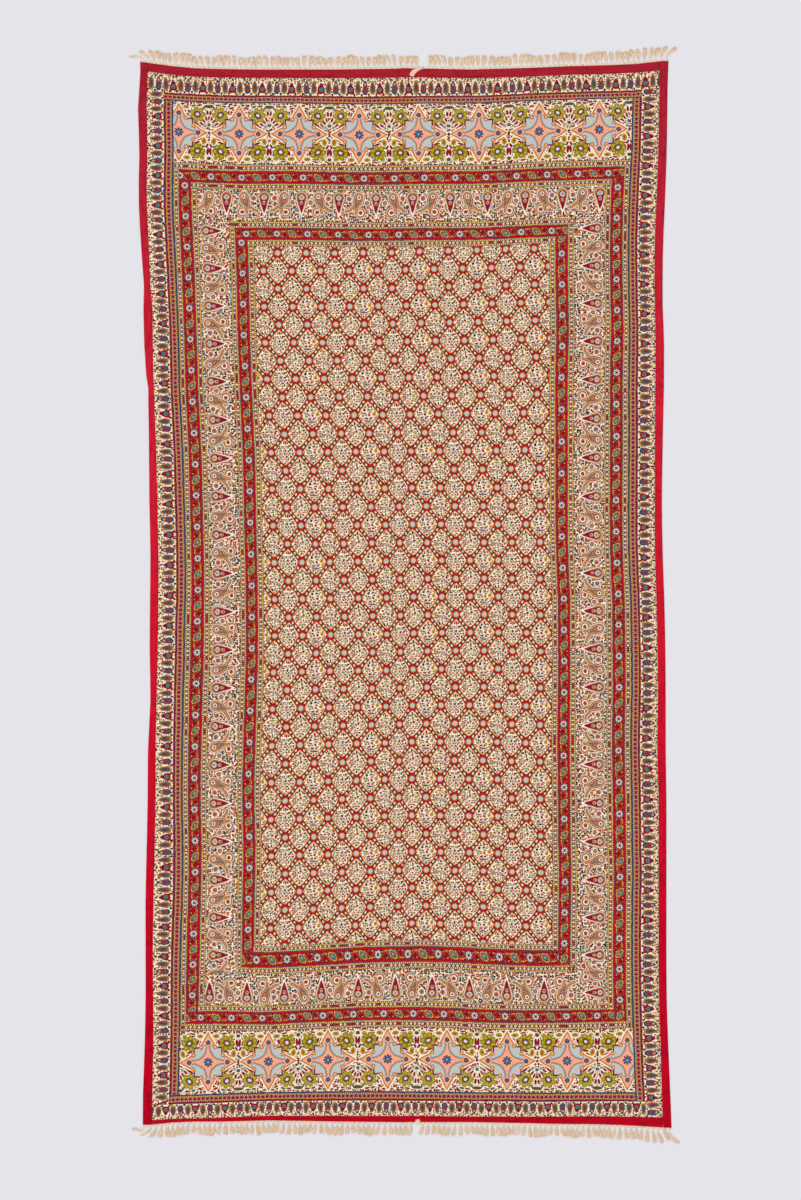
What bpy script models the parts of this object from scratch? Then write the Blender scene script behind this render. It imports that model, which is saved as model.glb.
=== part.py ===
"""Block printed cotton panel, lying flat and face up, edged in red cotton and fringed at both ends.

Metres, +Z up. +Y runs to the panel's top end. The origin is on the surface under its middle.
Run with: blender --background --python part.py
"""

import math
from collections import namedtuple

import bmesh
import bpy

# All sizes below are in millimetres
MM = 0.001
GAP = 0.3
CLOTH_THICK = 1.5
EDGING_THICK = 2.0
FRINGE_THICK = 1.8
HEADING_WIDE = 6.0
MEET_STEPS = 8

# Sewn outline, from the middle line: the left and right edges, and the edging's width inside them
Side = namedtuple("Side", "along left left_edging right right_edging")
SIDES = [
    Side(-1540, -761, 27, 772, 25),
    Side(-1466, -761, 27, 769, 24),
    Side(-1321, -756, 25, 763, 22),
    Side(-1176, -753, 22, 758, 22),
    Side(-1031, -753, 21, 757, 22),
    Side(-886, -753, 23, 757, 22),
    Side(-741, -750, 23, 757, 22),
    Side(-596, -747, 23, 757, 22),
    Side(-451, -746, 22, 755, 24),
    Side(-306, -739, 18, 755, 22),
    Side(-161, -741, 23, 754, 22),
    Side(-16, -740, 24, 751, 22),
    Side(129, -739, 23, 746, 22),
    Side(274, -742, 23, 744, 20),
    Side(419, -743, 21, 746, 22),
    Side(564, -745, 17, 749, 24),
    Side(613, -746, 17, 750, 24),
    Side(651, -754, 22, 750, 24),
    Side(738, -757, 25, 750, 24),
    Side(840, -759, 26, 746, 22),
    Side(852, -755, 21, 746, 22),
    Side(912, -759, 18, 746, 23),
    Side(999, -765, 22, 747, 24),
    Side(1144, -773, 23, 753, 24),
    Side(1289, -771, 23, 758, 24),
    Side(1434, -775, 25, 760, 23),
    Side(1492, -768, 21, 761, 23),
    Side(1545, -769, 22, 763, 25),
]

# The same for the two ends, from the middle of the length
End = namedtuple("End", "across bottom bottom_edging top top_edging")
ENDS = [
    End(-769, -1537, 15, 1544, 25),
    End(-740, -1537, 13, 1541, 25),
    End(-711, -1535, 11, 1537, 25),
    End(-653, -1529, 10, 1529, 25),
    End(-595, -1528, 9, 1525, 24),
    End(-508, -1528, 12, 1523, 24),
    End(-421, -1525, 13, 1522, 24),
    End(-305, -1525, 13, 1522, 24),
    End(-189, -1528, 16, 1522, 25),
    End(-40, -1527, 15, 1521, 25),
    End(-11, -1530, 18, 1526, 26),
    End(43, -1528, 17, 1524, 25),
    End(217, -1530, 16, 1522, 25),
    End(333, -1532, 18, 1525, 25),
    End(449, -1535, 21, 1531, 25),
    End(565, -1536, 23, 1534, 25),
    End(681, -1541, 26, 1539, 25),
    End(740, -1545, 29, 1546, 26),
    End(771, -1546, 30, 1547, 28),
]

# Folds pressed in by storage: low ridges that run the panel's whole length
Crease = namedtuple("Crease", "bottom_across top_across height half_width wave_start cells_before")
CREASES = [
    Crease(-398, -402, 1.3, 11, 0.0, 5),
    Crease(-4, -11, 2.6, 10, 1.9, 2),
    Crease(399, 396, 1.3, 11, 3.7, 2),
]
CELLS_AFTER_CREASES = 5
CREASE_STEPS = [-1.0, -0.4, 0.0, 0.4, 1.0]
CREASE_HEIGHTS = [0.0, 0.4, 1.0, 0.4, 0.0]
CREASE_WAVE = 640.0
CREASE_WAVE_SHARE = 0.25

# Fringes: two lengths at each end. end is +1 at the top and -1 at the bottom. The corner strand
# turns out by splay degrees. The cut end beside the middle is turned over onto the edging's front.
Fringe = namedtuple(
    "Fringe", "name end start stop strands splay corner_long phase fold_wide fold_shift fold_long"
)
FRINGES = [
    Fringe("fringe_top_left", 1, -768, 54, 52, 66, 38, 0.4, 14, -28, 25),
    Fringe("fringe_top_right", 1, 62, 762, 45, 36, 45, 2.1, 0, 0, 0),
    Fringe("fringe_bottom_left", -1, -760, 40, 51, 72, 39, 3.3, 16, -3, 6),
    Fringe("fringe_bottom_right", -1, 43, 770, 47, 32, 49, 5.2, 0, 0, 0),
]
STRAND_LONG = 33.0
ROOT_SHARE = 0.6
LONG_CHANGE = 2.7
LEAN_DEGREES = 10.0
SPLAY_STRANDS = 4.0
SPLAY_FALL = 2.4
FOLD_RISE = 2.5
FOLD_CLEAR = 0.5
FOLD_THIN = 0.8

# Uneven lengths and leans: a wave that goes on by rate radians from one strand to the next
Wave = namedtuple("Wave", "rate share phases")
LEAN_WAVES = [Wave(1.05, 1.0, 1), Wave(0.37, 0.6, 2)]
LONG_WAVES = [Wave(0.83, 1.0, 3), Wave(2.31, 0.7, 1)]

# Places along a strand past its root: how far out, how much of the lean, how wide and how thick
Station = namedtuple("Station", "share lean wide thick")
STRAND = [Station(0.5, 0.6, 8.6, 0.95), Station(1.0, 1.0, 5.6, 0.5)]

CRIMSON = (0.42, 0.016, 0.032)
PRINTED_SAND = (0.55, 0.36, 0.23)
APRICOT = (0.93, 0.68, 0.43)


def smooth(table, key, column, at):
    """A column's value between a table's rows, on a smooth curve through them."""
    keys = [getattr(row, key) for row in table]
    values = [getattr(row, column) for row in table]
    last = len(keys) - 1
    at = min(max(at, keys[0]), keys[last])
    low = max(i for i in range(last) if keys[i] <= at)

    def slope(i):
        before, after = max(i - 1, 0), min(i + 1, last)
        return (values[after] - values[before]) / (keys[after] - keys[before])

    step = keys[low + 1] - keys[low]
    t = (at - keys[low]) / step
    rise = 3 * t * t - 2 * t * t * t
    leave = t * (1 - t) * (1 - t) * step * slope(low)
    arrive = t * t * (1 - t) * step * slope(low + 1)
    return values[low] + rise * (values[low + 1] - values[low]) + leave - arrive


def side(column, along):
    return smooth(SIDES, "along", column, along)


def end(column, across):
    return smooth(ENDS, "across", column, across)


def left_edge(along):
    return side("left", along)


def left_seam(along):
    return side("left", along) + side("left_edging", along)


def right_edge(along):
    return side("right", along)


def right_seam(along):
    return side("right", along) - side("right_edging", along)


def top_edge(across):
    return end("top", across)


def top_seam(across):
    return end("top", across) - end("top_edging", across)


def bottom_edge(across):
    return end("bottom", across)


def bottom_seam(across):
    return end("bottom", across) + end("bottom_edging", across)


def shifted(line, distance):
    """The same line, moved across itself by a distance."""
    return lambda at: line(at) + distance


def between(first, second, share):
    """The line that lies at a share of the way from one line to another."""
    return lambda at: first(at) * (1 - share) + second(at) * share


def meet(column, row):
    """The point where a line that runs along the panel meets one that runs across it."""
    across, along = column(0.0), 0.0
    for _ in range(MEET_STEPS):
        along = row(across)
        across = column(along)
    return across, along


def crease_line(crease, step=0.0):
    """A crease's course along the panel, or a line beside it, a few half widths away."""
    long = SIDES[-1].along - SIDES[0].along

    def line(along):
        share = (along - SIDES[0].along) / long
        course = crease.bottom_across * (1 - share) + crease.top_across * share
        return course + step * crease.half_width

    return line


def lift(across, along):
    """How high the cloth's underside stands off the surface, at the creases."""
    height = 0.0
    for crease in CREASES:
        step = (across - crease_line(crease)(along)) / crease.half_width
        if abs(step) >= 1.0:
            continue
        upper = next(i for i in range(1, len(CREASE_STEPS)) if CREASE_STEPS[i] >= step)
        low, high = CREASE_STEPS[upper - 1], CREASE_STEPS[upper]
        share = (step - low) / (high - low)
        profile = CREASE_HEIGHTS[upper - 1] * (1 - share) + CREASE_HEIGHTS[upper] * share
        wave = math.sin(2 * math.pi * along / CREASE_WAVE + crease.wave_start)
        height += crease.height * profile * (1 - CREASE_WAVE_SHARE + CREASE_WAVE_SHARE * wave)
    return height


def column_lines():
    """Lines along the panel between the side seams, close together at each crease."""
    lines = [shifted(left_seam, GAP)]
    for crease in CREASES + [None]:
        start = lines[-1]
        stop = crease_line(crease, CREASE_STEPS[0]) if crease else shifted(right_seam, -GAP)
        cells = crease.cells_before if crease else CELLS_AFTER_CREASES
        lines += [between(start, stop, cell / cells) for cell in range(1, cells + 1)]
        if crease:
            lines += [crease_line(crease, step) for step in CREASE_STEPS[1:]]
    return lines


def row_lines():
    """Lines across the panel from the bottom seam to the top seam, at the side table's rows."""
    bottom, top = shifted(bottom_seam, GAP), shifted(top_seam, -GAP)
    stations = [row.along for row in SIDES]
    middles = [(a + b) / 2 for a, b in zip(stations, stations[1:]) if b - a > 100]
    low, high = stations[0], stations[-1]
    return [between(bottom, top, (at - low) / (high - low)) for at in sorted(stations + middles)]


def material(name, colour, roughness):
    made = bpy.data.materials.new(name)
    made.use_nodes = True
    shader = made.node_tree.nodes["Principled BSDF"]
    shader.inputs["Base Color"].default_value = (*colour, 1.0)
    shader.inputs["Roughness"].default_value = roughness
    shader.inputs["Metallic"].default_value = 0.0
    return made


def add_object(bm, name, finish, thickness, collection, weighted=False):
    """Turn a surface into a named sheet that stands on its underside."""
    bmesh.ops.recalc_face_normals(bm, faces=bm.faces)
    if sum(face.normal.z for face in bm.faces) < 0:
        bmesh.ops.reverse_faces(bm, faces=bm.faces)
    mesh = bpy.data.meshes.new(name)
    bm.to_mesh(mesh)
    bm.free()
    mesh.materials.append(finish)
    made = bpy.data.objects.new(name, mesh)
    collection.objects.link(made)
    shell = made.modifiers.new("thickness", "SOLIDIFY")
    shell.thickness = thickness * MM
    shell.offset = 1.0
    if weighted:
        made.vertex_groups.new(name="thickness")
        shell.vertex_group = "thickness"
        shell.thickness_vertex_group = 0.0
    return made


def grid(columns, rows):
    """A flat grid whose vertices go where the lines meet, raised at the creases."""
    bm = bmesh.new()
    bmesh.ops.create_grid(bm, x_segments=len(columns) - 1, y_segments=len(rows) - 1, size=0.5)
    for vert in bm.verts:
        column = columns[round((vert.co.x + 0.5) * (len(columns) - 1))]
        row = rows[round((vert.co.y + 0.5) * (len(rows) - 1))]
        across, along = meet(column, row)
        vert.co = (across * MM, along * MM, lift(across, along) * MM)
    return bm


def strip_lines(outer, seam):
    """Three lines for an edging strip, from the lowest coordinate to the highest."""
    return sorted([outer, between(outer, seam, 0.5), seam], key=lambda line: line(0.0))


def edge_line(edge, columns):
    """The outer line of an end's edging as points, from the left corner to the right one."""
    left, right = strip_lines(left_edge, left_seam), strip_lines(right_edge, right_seam)
    return [meet(column, edge) for column in left + columns + right]


def height_on(points, across):
    """Where a line of points lies along the panel, at a place across it."""
    for (x0, y0), (x1, y1) in zip(points, points[1:]):
        if across <= x1:
            break
    share = (across - x0) / (x1 - x0)
    return y0 + share * (y1 - y0)


def sway(waves, fringe, index):
    """An uneven share, near -1 to 1, that changes slowly from strand to strand."""
    return sum(wave.share * math.sin(wave.rate * index + wave.phases * fringe.phase) for wave in waves)


def strand_lie(fringe, index):
    """How a strand lies: its turn in radians, fanning out at the panel's corner, and its length."""
    outward = -1 if fringe.start < 0 else 1
    from_corner = index if outward < 0 else fringe.strands - 1 - index
    corner = math.exp(-from_corner / SPLAY_STRANDS)
    fan = outward * fringe.splay * corner ** SPLAY_FALL
    turn = math.radians(LEAN_DEGREES * sway(LEAN_WAVES, fringe, index) * (1 - corner) + fan)
    extra = (fringe.corner_long - STRAND_LONG) * corner
    return turn, STRAND_LONG + extra + LONG_CHANGE * sway(LONG_WAVES, fringe, index) * (1 - corner)


def extrude_row(bm, edge, places, deform, thick):
    """Extrude one edge and put the two new vertices, left one first, at the given places."""
    made = bmesh.ops.extrude_edge_only(bm, edges=[edge])["geom"]
    verts = [item for item in made if isinstance(item, bmesh.types.BMVert)]
    verts.sort(key=lambda vert: vert.co.x)
    for vert, place in zip(verts, places):
        vert.co = [value * MM for value in place]
        vert[deform][0] = thick
    return bm.edges.get(verts)


def add_strand(bm, edge, fringe, index, deform):
    """A flat tapering strand from one edge of the heading, bent and leaning a little."""
    root_x, root_y = (sum(vert.co[axis] for vert in edge.verts) / 2 / MM for axis in (0, 1))
    turn, long = strand_lie(fringe, index)
    for station in STRAND:
        angle, reach = turn * station.lean, long * station.share
        x, y = root_x + reach * math.sin(angle), root_y + fringe.end * reach * math.cos(angle)
        half_x = station.wide / 2 * math.cos(angle)
        half_y = -fringe.end * station.wide / 2 * math.sin(angle)
        places = [(x - half_x, y - half_y, 0.0), (x + half_x, y + half_y, 0.0)]
        edge = extrude_row(bm, edge, places, deform, station.thick)


def add_fold(bm, edge, fringe, line, deform):
    """The heading's cut end, turned up and over onto the front of the edging."""
    ends = sorted(vert.co.x / MM for vert in edge.verts)
    height = EDGING_THICK + FOLD_CLEAR
    for shift, reach in ((0.0, -FOLD_CLEAR), (fringe.fold_shift, fringe.fold_long)):
        places = [(x + shift, height_on(line, x + shift) - fringe.end * reach, height) for x in ends]
        edge = extrude_row(bm, edge, places, deform, FOLD_THIN)


def heading_places(fringe):
    """Places across the panel where the heading's cells part: gap, strand, gap and so on."""
    strands_stop = fringe.stop - fringe.fold_wide
    pitch = (strands_stop - fringe.start) / fringe.strands
    places = [fringe.start]
    for strand in range(fringe.strands):
        start = fringe.start + (strand + 0.5 * (1 - ROOT_SHARE)) * pitch
        places += [start, start + ROOT_SHARE * pitch]
    places.append(strands_stop)
    if fringe.fold_wide:
        places.append(fringe.stop)
    return places


def add_fringe(fringe, columns, finish, collection):
    """One length of fringe: a narrow heading along the edging, and strands from every other cell."""
    line = edge_line(top_edge if fringe.end > 0 else bottom_edge, columns)
    places = heading_places(fringe)
    cells = len(places) - 1
    bm = bmesh.new()
    bmesh.ops.create_grid(bm, x_segments=cells, y_segments=1, size=0.5)
    deform = bm.verts.layers.deform.verify()
    outer, inner = {}, {}
    for vert in bm.verts:
        cell = round((vert.co.x + 0.5) * cells)
        is_outer = vert.co.y > 0
        (outer if is_outer else inner)[cell] = vert
        turned_up = fringe.fold_wide and cell >= cells - 1
        away = HEADING_WIDE if is_outer else FOLD_RISE if turned_up else GAP
        vert.co = (places[cell] * MM, (height_on(line, places[cell]) + fringe.end * away) * MM, 0.0)
        vert[deform][0] = 1.0
    if fringe.fold_wide:
        add_fold(bm, bm.edges.get((inner[cells - 1], inner[cells])), fringe, line, deform)
    for strand in range(fringe.strands):
        edge = bm.edges.get((outer[2 * strand + 1], outer[2 * strand + 2]))
        add_strand(bm, edge, fringe, strand, deform)
    return add_object(bm, fringe.name, finish, FRINGE_THICK, collection, weighted=True)


def build():
    for old in list(bpy.data.objects):
        bpy.data.objects.remove(old, do_unlink=True)
    collection = bpy.data.collections.new("kalamkari_panel")
    bpy.context.scene.collection.children.link(collection)
    print_finish = material("printed_cotton", PRINTED_SAND, 0.9)
    red_finish = material("red_cotton", CRIMSON, 0.85)
    fringe_finish = material("fringe_cotton", APRICOT, 0.95)
    columns, rows = column_lines(), row_lines()

    add_object(grid(columns, rows), "printed_cloth", print_finish, CLOTH_THICK, collection)
    long_rows = [bottom_edge] + rows + [top_edge]
    sides = (("edging_left", left_edge, left_seam), ("edging_right", right_edge, right_seam))
    for name, outer, seam in sides:
        surface = grid(strip_lines(outer, seam), long_rows)
        add_object(surface, name, red_finish, EDGING_THICK, collection)
    ends = (("edging_bottom", bottom_edge, bottom_seam), ("edging_top", top_edge, top_seam))
    for name, outer, seam in ends:
        surface = grid(columns, strip_lines(outer, seam))
        add_object(surface, name, red_finish, EDGING_THICK, collection)
    for fringe in FRINGES:
        add_fringe(fringe, columns, fringe_finish, collection)


build()
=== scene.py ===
# %% [markdown]
# # A printed kalamkari panel, laid flat
#
# The real object is a long cotton panel, block printed by hand: a field of ogee cells, a set of
# borders round it, a band of four-pointed stars at each end, a red cotton edging sewn round the
# cloth and a loose cotton fringe at both ends. The CAD part gives the shapes. This script gives the
# print, the cloth's small folds, the edging's puckers and the fringe's loose threads.

import math

import bpy
import numpy as np
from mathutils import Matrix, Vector
from mathutils.bvhtree import BVHTree


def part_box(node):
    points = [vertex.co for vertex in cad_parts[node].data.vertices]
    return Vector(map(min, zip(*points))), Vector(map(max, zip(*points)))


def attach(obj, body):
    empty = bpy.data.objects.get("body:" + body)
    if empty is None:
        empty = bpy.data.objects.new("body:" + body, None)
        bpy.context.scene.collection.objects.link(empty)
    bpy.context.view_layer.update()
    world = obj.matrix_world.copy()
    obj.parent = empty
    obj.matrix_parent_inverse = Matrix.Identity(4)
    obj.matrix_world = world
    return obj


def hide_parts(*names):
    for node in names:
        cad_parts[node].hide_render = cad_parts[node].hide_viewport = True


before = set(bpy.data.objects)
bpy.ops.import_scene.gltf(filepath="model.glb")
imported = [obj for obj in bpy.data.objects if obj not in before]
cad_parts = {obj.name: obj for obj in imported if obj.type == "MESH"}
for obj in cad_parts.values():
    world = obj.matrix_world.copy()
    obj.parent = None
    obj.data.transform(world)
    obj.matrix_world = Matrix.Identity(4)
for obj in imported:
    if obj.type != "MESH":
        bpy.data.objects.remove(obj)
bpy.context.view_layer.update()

# %% [markdown]
# ## The layout
#
# A printer's blocks are cut to a fixed measure. Here that measure is one step of 2.9 mm, about as
# wide as the finest stroke of the print. The layout counts steps to the right and steps down from
# one corner, like a page, and two small functions turn them into metres on the CAD part.

# %% Steps and metres
STEP = 0.0029
MIDDLE_RIGHT = 405.25
MIDDLE_DOWN = 594.5


def across(right):
    return (right - MIDDLE_RIGHT) * STEP


def along(down):
    return (MIDDLE_DOWN - down) * STEP


def down_of(y):
    return MIDDLE_DOWN - y / STEP


def right_of(x):
    return MIDDLE_RIGHT + x / STEP


# %% [markdown]
# The print isn't straight on the real cloth: hand-woven cotton stretches as it is washed and
# laid. These rows say how many steps each border wanders sideways, every 30 steps down, and how
# far each end border wanders down, every 30 steps to the right.

# %% How the borders wander
DOWN_ROWS = np.arange(90, 1111, 30.0)
RIGHT_ROWS = np.arange(150, 661, 30.0)
LEFT_OUTER = [
    -3.9, -4.4, -3.7, -4.4, -4.2, -2.8, -1.2, 0.0, 1.4, 2.1, 2.6, 4.1, 5.6, 6.4, 7.3, 8.1, 8.6, 8.2,
    7.1, 6.9, 5.9, 5.6, 5.1, 4.9, 4.9, 5.6, 5.6, 5.1, 3.9, 3.1, 2.8, 2.7, 2.2, 1.8, 0.4,
]
LEFT_INNER = [
    -3.9, -4.4, -3.7, -4.2, -3.6, -1.9, -0.8, 0.0, 0.4, 1.7, 3.0, 4.4, 6.0, 6.9, 7.3, 8.1, 8.9, 9.1,
    9.4, 9.2, 8.2, 7.3, 6.4, 5.4, 5.5, 6.5, 6.3, 5.5, 5.1, 5.0, 3.6, 3.0, 2.4, 1.8, 0.4,
]
RIGHT_INNER = [
    3.6, 3.0, 2.5, 1.2, 0.1, -0.3, -0.5, 0.0, 0.6, -0.5, -1.0, -1.0, -1.0, -1.2, -1.2, -1.0, -0.1,
    1.4, 1.2, 1.5, 1.5, 1.0, 1.0, 1.6, 1.8, 1.9, 2.8, 2.5, 2.0, 1.9, 2.2, 3.0, 4.0, 5.0, 6.5,
]
RIGHT_OUTER = [
    4.1, 3.4, 2.9, 1.2, 0.1, -0.6, -0.4, 0.0, 0.7, 0.3, -0.1, 0.1, 0.1, -0.2, -0.4, -0.2, 0.7,
    2.0, 2.6, 3.0, 3.1, 2.4, 2.1, 2.6, 3.1, 3.3, 3.9, 3.4, 3.1, 3.1, 3.4, 4.1, 5.0, 6.0, 7.9,
]
TOP_ENDS = [
    -4.5, -2.2, -1.0, -0.1, -0.2, 0.0, 0.5, 1.0, 0.8, 0.1, 0.1, -0.1, -1.4, -2.8, -3.6, -4.6, -5.2,
    -7.5,
]
LOW_INNER = [
    1.2, 0.8, 0.5, 1.0, 1.5, 0.0, -1.6, -3.6, -4.3, -4.9, -4.0, -2.4, -1.1, -0.4, -1.2, -0.8, -1.4,
    -1.4,
]
LOW_MIDDLE = [
    2.5, 1.5, 1.0, 1.4, 1.8, 0.0, -1.2, -2.4, -2.7, -2.4, -1.7, -0.3, 0.4, 0.2, 0.0, -0.8, -1.6,
    -2.0,
]
LOW_OUTER = [
    4.5, 3.4, 2.3, 1.4, 0.4, 0.0, -0.3, -0.4, -0.3, 0.0, 0.2, 0.6, 0.6, 1.1, 0.7, 0.6, 0.6, 1.2,
]

# %% [markdown]
# The repeats wander too. This short table says how far the field's cells, and the motifs in line
# with them, lie to the right of and below an even repeat, at six places across and twelve down.
# The middle crease swallows a step or two.

# %% How the repeats wander
PLACES_RIGHT = [270, 330, 399, 407, 480, 540]
PLACES_DOWN = [265, 325, 385, 445, 505, 565, 625, 685, 745, 805, 865, 925]
TO_RIGHT = [
    [-5.1, -5.3, -5.9, -6.6, -6.5, -6.7],
    [-3.8, -4.0, -4.6, -5.1, -5.2, -5.5],
    [-1.0, -1.4, -2.0, -2.8, -3.5, -4.1],
    [2.7, 1.9, 0.7, -0.9, -1.4, -1.8],
    [4.4, 3.0, 2.0, 0.6, -0.2, -0.6],
    [6.2, 4.2, 3.0, 1.8, 0.8, -1.1],
    [6.9, 4.9, 3.7, 2.1, 1.0, -0.3],
    [4.9, 4.0, 3.0, 1.1, 0.2, -0.4],
    [3.4, 2.9, 1.9, 0.2, -0.6, -1.0],
    [2.7, 2.2, 1.4, -0.1, -0.4, -0.4],
    [3.0, 2.2, 1.4, 0.3, 0.0, 0.0],
    [2.3, 1.5, 0.7, 0.0, -0.3, -0.6],
]
BELOW = [
    [-3.5, -3.1, -3.9, -4.6, -6.2, -8.0],
    [-3.3, -3.5, -4.4, -4.9, -6.2, -8.0],
    [-2.7, -3.2, -3.9, -4.3, -5.4, -6.7],
    [-1.2, -1.8, -2.4, -2.6, -3.1, -4.2],
    [-0.3, -0.4, -1.1, -1.4, -1.4, -2.0],
    [1.4, 0.7, -0.5, -0.9, -1.1, -0.9],
    [2.7, 1.6, 0.7, 0.0, -1.1, -0.3],
    [3.4, 1.9, 1.0, 0.3, -0.4, 0.7],
    [5.0, 3.3, 1.6, 0.9, 0.8, 2.4],
    [6.6, 4.9, 2.8, 2.3, 3.1, 4.3],
    [7.7, 5.9, 3.7, 3.1, 4.3, 6.0],
    [8.1, 6.0, 3.2, 2.6, 4.0, 6.2],
]


def share_between(places, at):
    """For each value: the place before it in a list, and how far it lies on to the next one."""
    places = np.asarray(places, float)
    at = np.clip(at, places[0], places[-1])
    before_it = np.clip(np.searchsorted(places, at, side="right") - 1, 0, len(places) - 2)
    return before_it, (at - places[before_it]) / (places[before_it + 1] - places[before_it])


def wander(table, right, down):
    """The table's value at each place, evenly between its four nearest entries."""
    table = np.asarray(table)
    column, part_right = share_between(PLACES_RIGHT, right)
    row, part_down = share_between(PLACES_DOWN, down)
    upper = table[row, column] * (1 - part_right) + table[row, column + 1] * part_right
    lower = table[row + 1, column] * (1 - part_right) + table[row + 1, column + 1] * part_right
    return upper * (1 - part_down) + lower * part_down


# %% [markdown]
# ## Reading the part
#
# The looks have to follow the part's own outline. A line laid across a CAD node's mesh meets it
# at a lowest and a highest place, and those are its two edges there. The same node, met from
# above by a falling point, gives the height of its surface.

# %% The outline and height of a node
def cutter(node, axis):
    """A function that gives the node's lowest and highest place on a line across it."""
    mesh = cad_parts[node].data
    points = np.array([v.co[:] for v in mesh.vertices])[:, :2]
    ends = np.array([e.vertices[:] for e in mesh.edges])
    a, b = points[ends[:, 0]], points[ends[:, 1]]

    def cut(at):
        met = ((a[:, axis] - at) * (b[:, axis] - at) <= 0) & (a[:, axis] != b[:, axis])
        part = (at - a[met, axis]) / (b[met, axis] - a[met, axis])
        other = a[met, 1 - axis] + part * (b[met, 1 - axis] - a[met, 1 - axis])
        return other.min(), other.max()

    return cut


def outline(node, count=240):
    """The node's four edges, each as places along it: left, right, bottom and top."""
    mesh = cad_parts[node].data
    points = np.array([v.co[:] for v in mesh.vertices])[:, :2]
    corner = {}
    for name, weights in {"tl": (-1, 1), "tr": (1, 1), "bl": (-1, -1), "br": (1, -1)}.items():
        corner[name] = points[np.argmax(points @ np.array(weights))]
    edges = {}
    for name, axis, first, last, pick in (
        ("left", 1, "bl", "tl", 0),
        ("right", 1, "br", "tr", 1),
        ("bottom", 0, "bl", "br", 0),
        ("top", 0, "tl", "tr", 1),
    ):
        cut = cutter(node, axis)
        start, stop = corner[first][axis], corner[last][axis]
        at = np.linspace(start, stop, count)
        inside = np.clip(at, start + 1e-5, stop - 1e-5)
        edges[name] = (at, np.array([cut(value)[pick] for value in inside]))
    return edges


def surface(node):
    """A function that gives the height of the node's upper side at each place."""
    tree = BVHTree.FromObject(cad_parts[node], bpy.context.evaluated_depsgraph_get())
    middle_x, middle_y = [sum(side) / 2 for side in list(zip(*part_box(node)))[:2]]

    def height(x, y):
        toward_x, toward_y = middle_x - x, middle_y - y
        length = math.hypot(toward_x, toward_y) or 1.0
        for inward in (0.0, 0.0005, 0.002):
            start = Vector((x + toward_x / length * inward, y + toward_y / length * inward, 1.0))
            hit = tree.ray_cast(start, Vector((0, 0, -1)))[0]
            if hit is not None:
                return hit.z
        return tree.find_nearest(Vector((x, y, 0.002)))[0].z

    return height


CLOTH = outline("printed_cloth")
print("printed cloth's corners:", [round(float(CLOTH[k][1][0]), 3) for k in CLOTH])

# %% [markdown]
# ## The borders
#
# The borders are rings, one inside the other, each printed with its own block. Every ring is
# listed with the steps where it ends: on the left, on the right, at the top and at the bottom.
# The star band has no sides: it lies at the two ends only, inside the ring of beads.

# %% The rings, from the outside in
RINGS = [
    ("botehs", 168.6, 637.4, 96.2, 1100.6),
    ("beads", 177.6, 628.4, 103.7, 1091.4),
    ("stars", 177.6, 628.4, 164.6, 1029.4),
    ("guard_a", 183.2, 622.6, 171.8, 1022.3),
    ("vine_a", 195.2, 610.8, 183.6, 1010.6),
    ("guard_b", 201.3, 604.6, 190.0, 1004.3),
    ("paisleys", 231.6, 574.6, 221.5, 972.9),
    ("guard_c", 237.4, 568.0, 228.3, 966.0),
    ("vine_b", 249.0, 556.2, 239.7, 950.9),
    ("guard_d", 255.6, 549.8, 246.3, 944.9),
]
EDGE = (152.3, 654.7, 77.8, 1116.6)

# A motif's place in each ring, in steps: on the top, right, bottom and left side.
MOTIF_AT = {
    "botehs": (203.0, 315.0, 225.0, 294.0),
    "beads": (200.0, 286.5, 216.0, 292.5),
    "stars": (299.3, 0.0, 268.5, 0.0),
    "guard_a": (324.0, 332.0, 241.0, 287.5),
    "vine_a": (303.0, 311.3, 231.5, 308.3),
    "guard_b": (324.0, 332.0, 241.0, 286.8),
    "paisleys": (301.5, 304.5, 247.0, 306.0),
    "guard_c": (328.5, 275.0, 250.0, 283.2),
    "vine_b": (307.5, 285.5, 256.5, 304.2),
    "guard_d": (328.5, 275.0, 250.0, 282.0),
}


def lines(marks, extra, spacing):
    """Grid lines: at every mark, in each extra span one a step, and no further apart than spacing."""
    fixed = set(marks)
    for low, high in extra:
        fixed.update(np.arange(low, high, 1.0))
    fixed = sorted(fixed)
    made = []
    for low, high in zip(fixed, fixed[1:]):
        count = max(1, math.ceil((high - low) / spacing))
        made += list(np.linspace(low, high, count, endpoint=False))
    return np.array(made + [fixed[-1]])


COLUMNS = lines(
    [EDGE[0], EDGE[1]] + [r[1] for r in RINGS] + [r[2] for r in RINGS],
    [(258, 277), (394, 411), (538, 548)],
    5.0,
)
ROWS = lines(
    [EDGE[2], EDGE[3]] + [r[3] for r in RINGS] + [r[4] for r in RINGS],
    [],
    6.0,
)
print("cloth grid:", len(COLUMNS), "by", len(ROWS))

# %% [markdown]
# Each crossing of the grid is moved to where the print really lies. The borders' wandering is
# known at four lines across and four lines down. Between them it changes evenly, and at the rim
# the grid meets the CAD part's own edge. Sideways and lengthwise moves depend on each other a
# little, so they are worked out a few times over.

# %% Laying the grid on the cloth
def blend(at, places, values):
    """A value between several known ones, for arrays of values at each place."""
    made = values[0]
    for low, high, first, second in zip(places, places[1:], values, values[1:]):
        part = np.clip((at - low) / (high - low), 0, 1)
        made = np.where(at >= low, first * (1 - part) + second * part, made)
    return made


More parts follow.
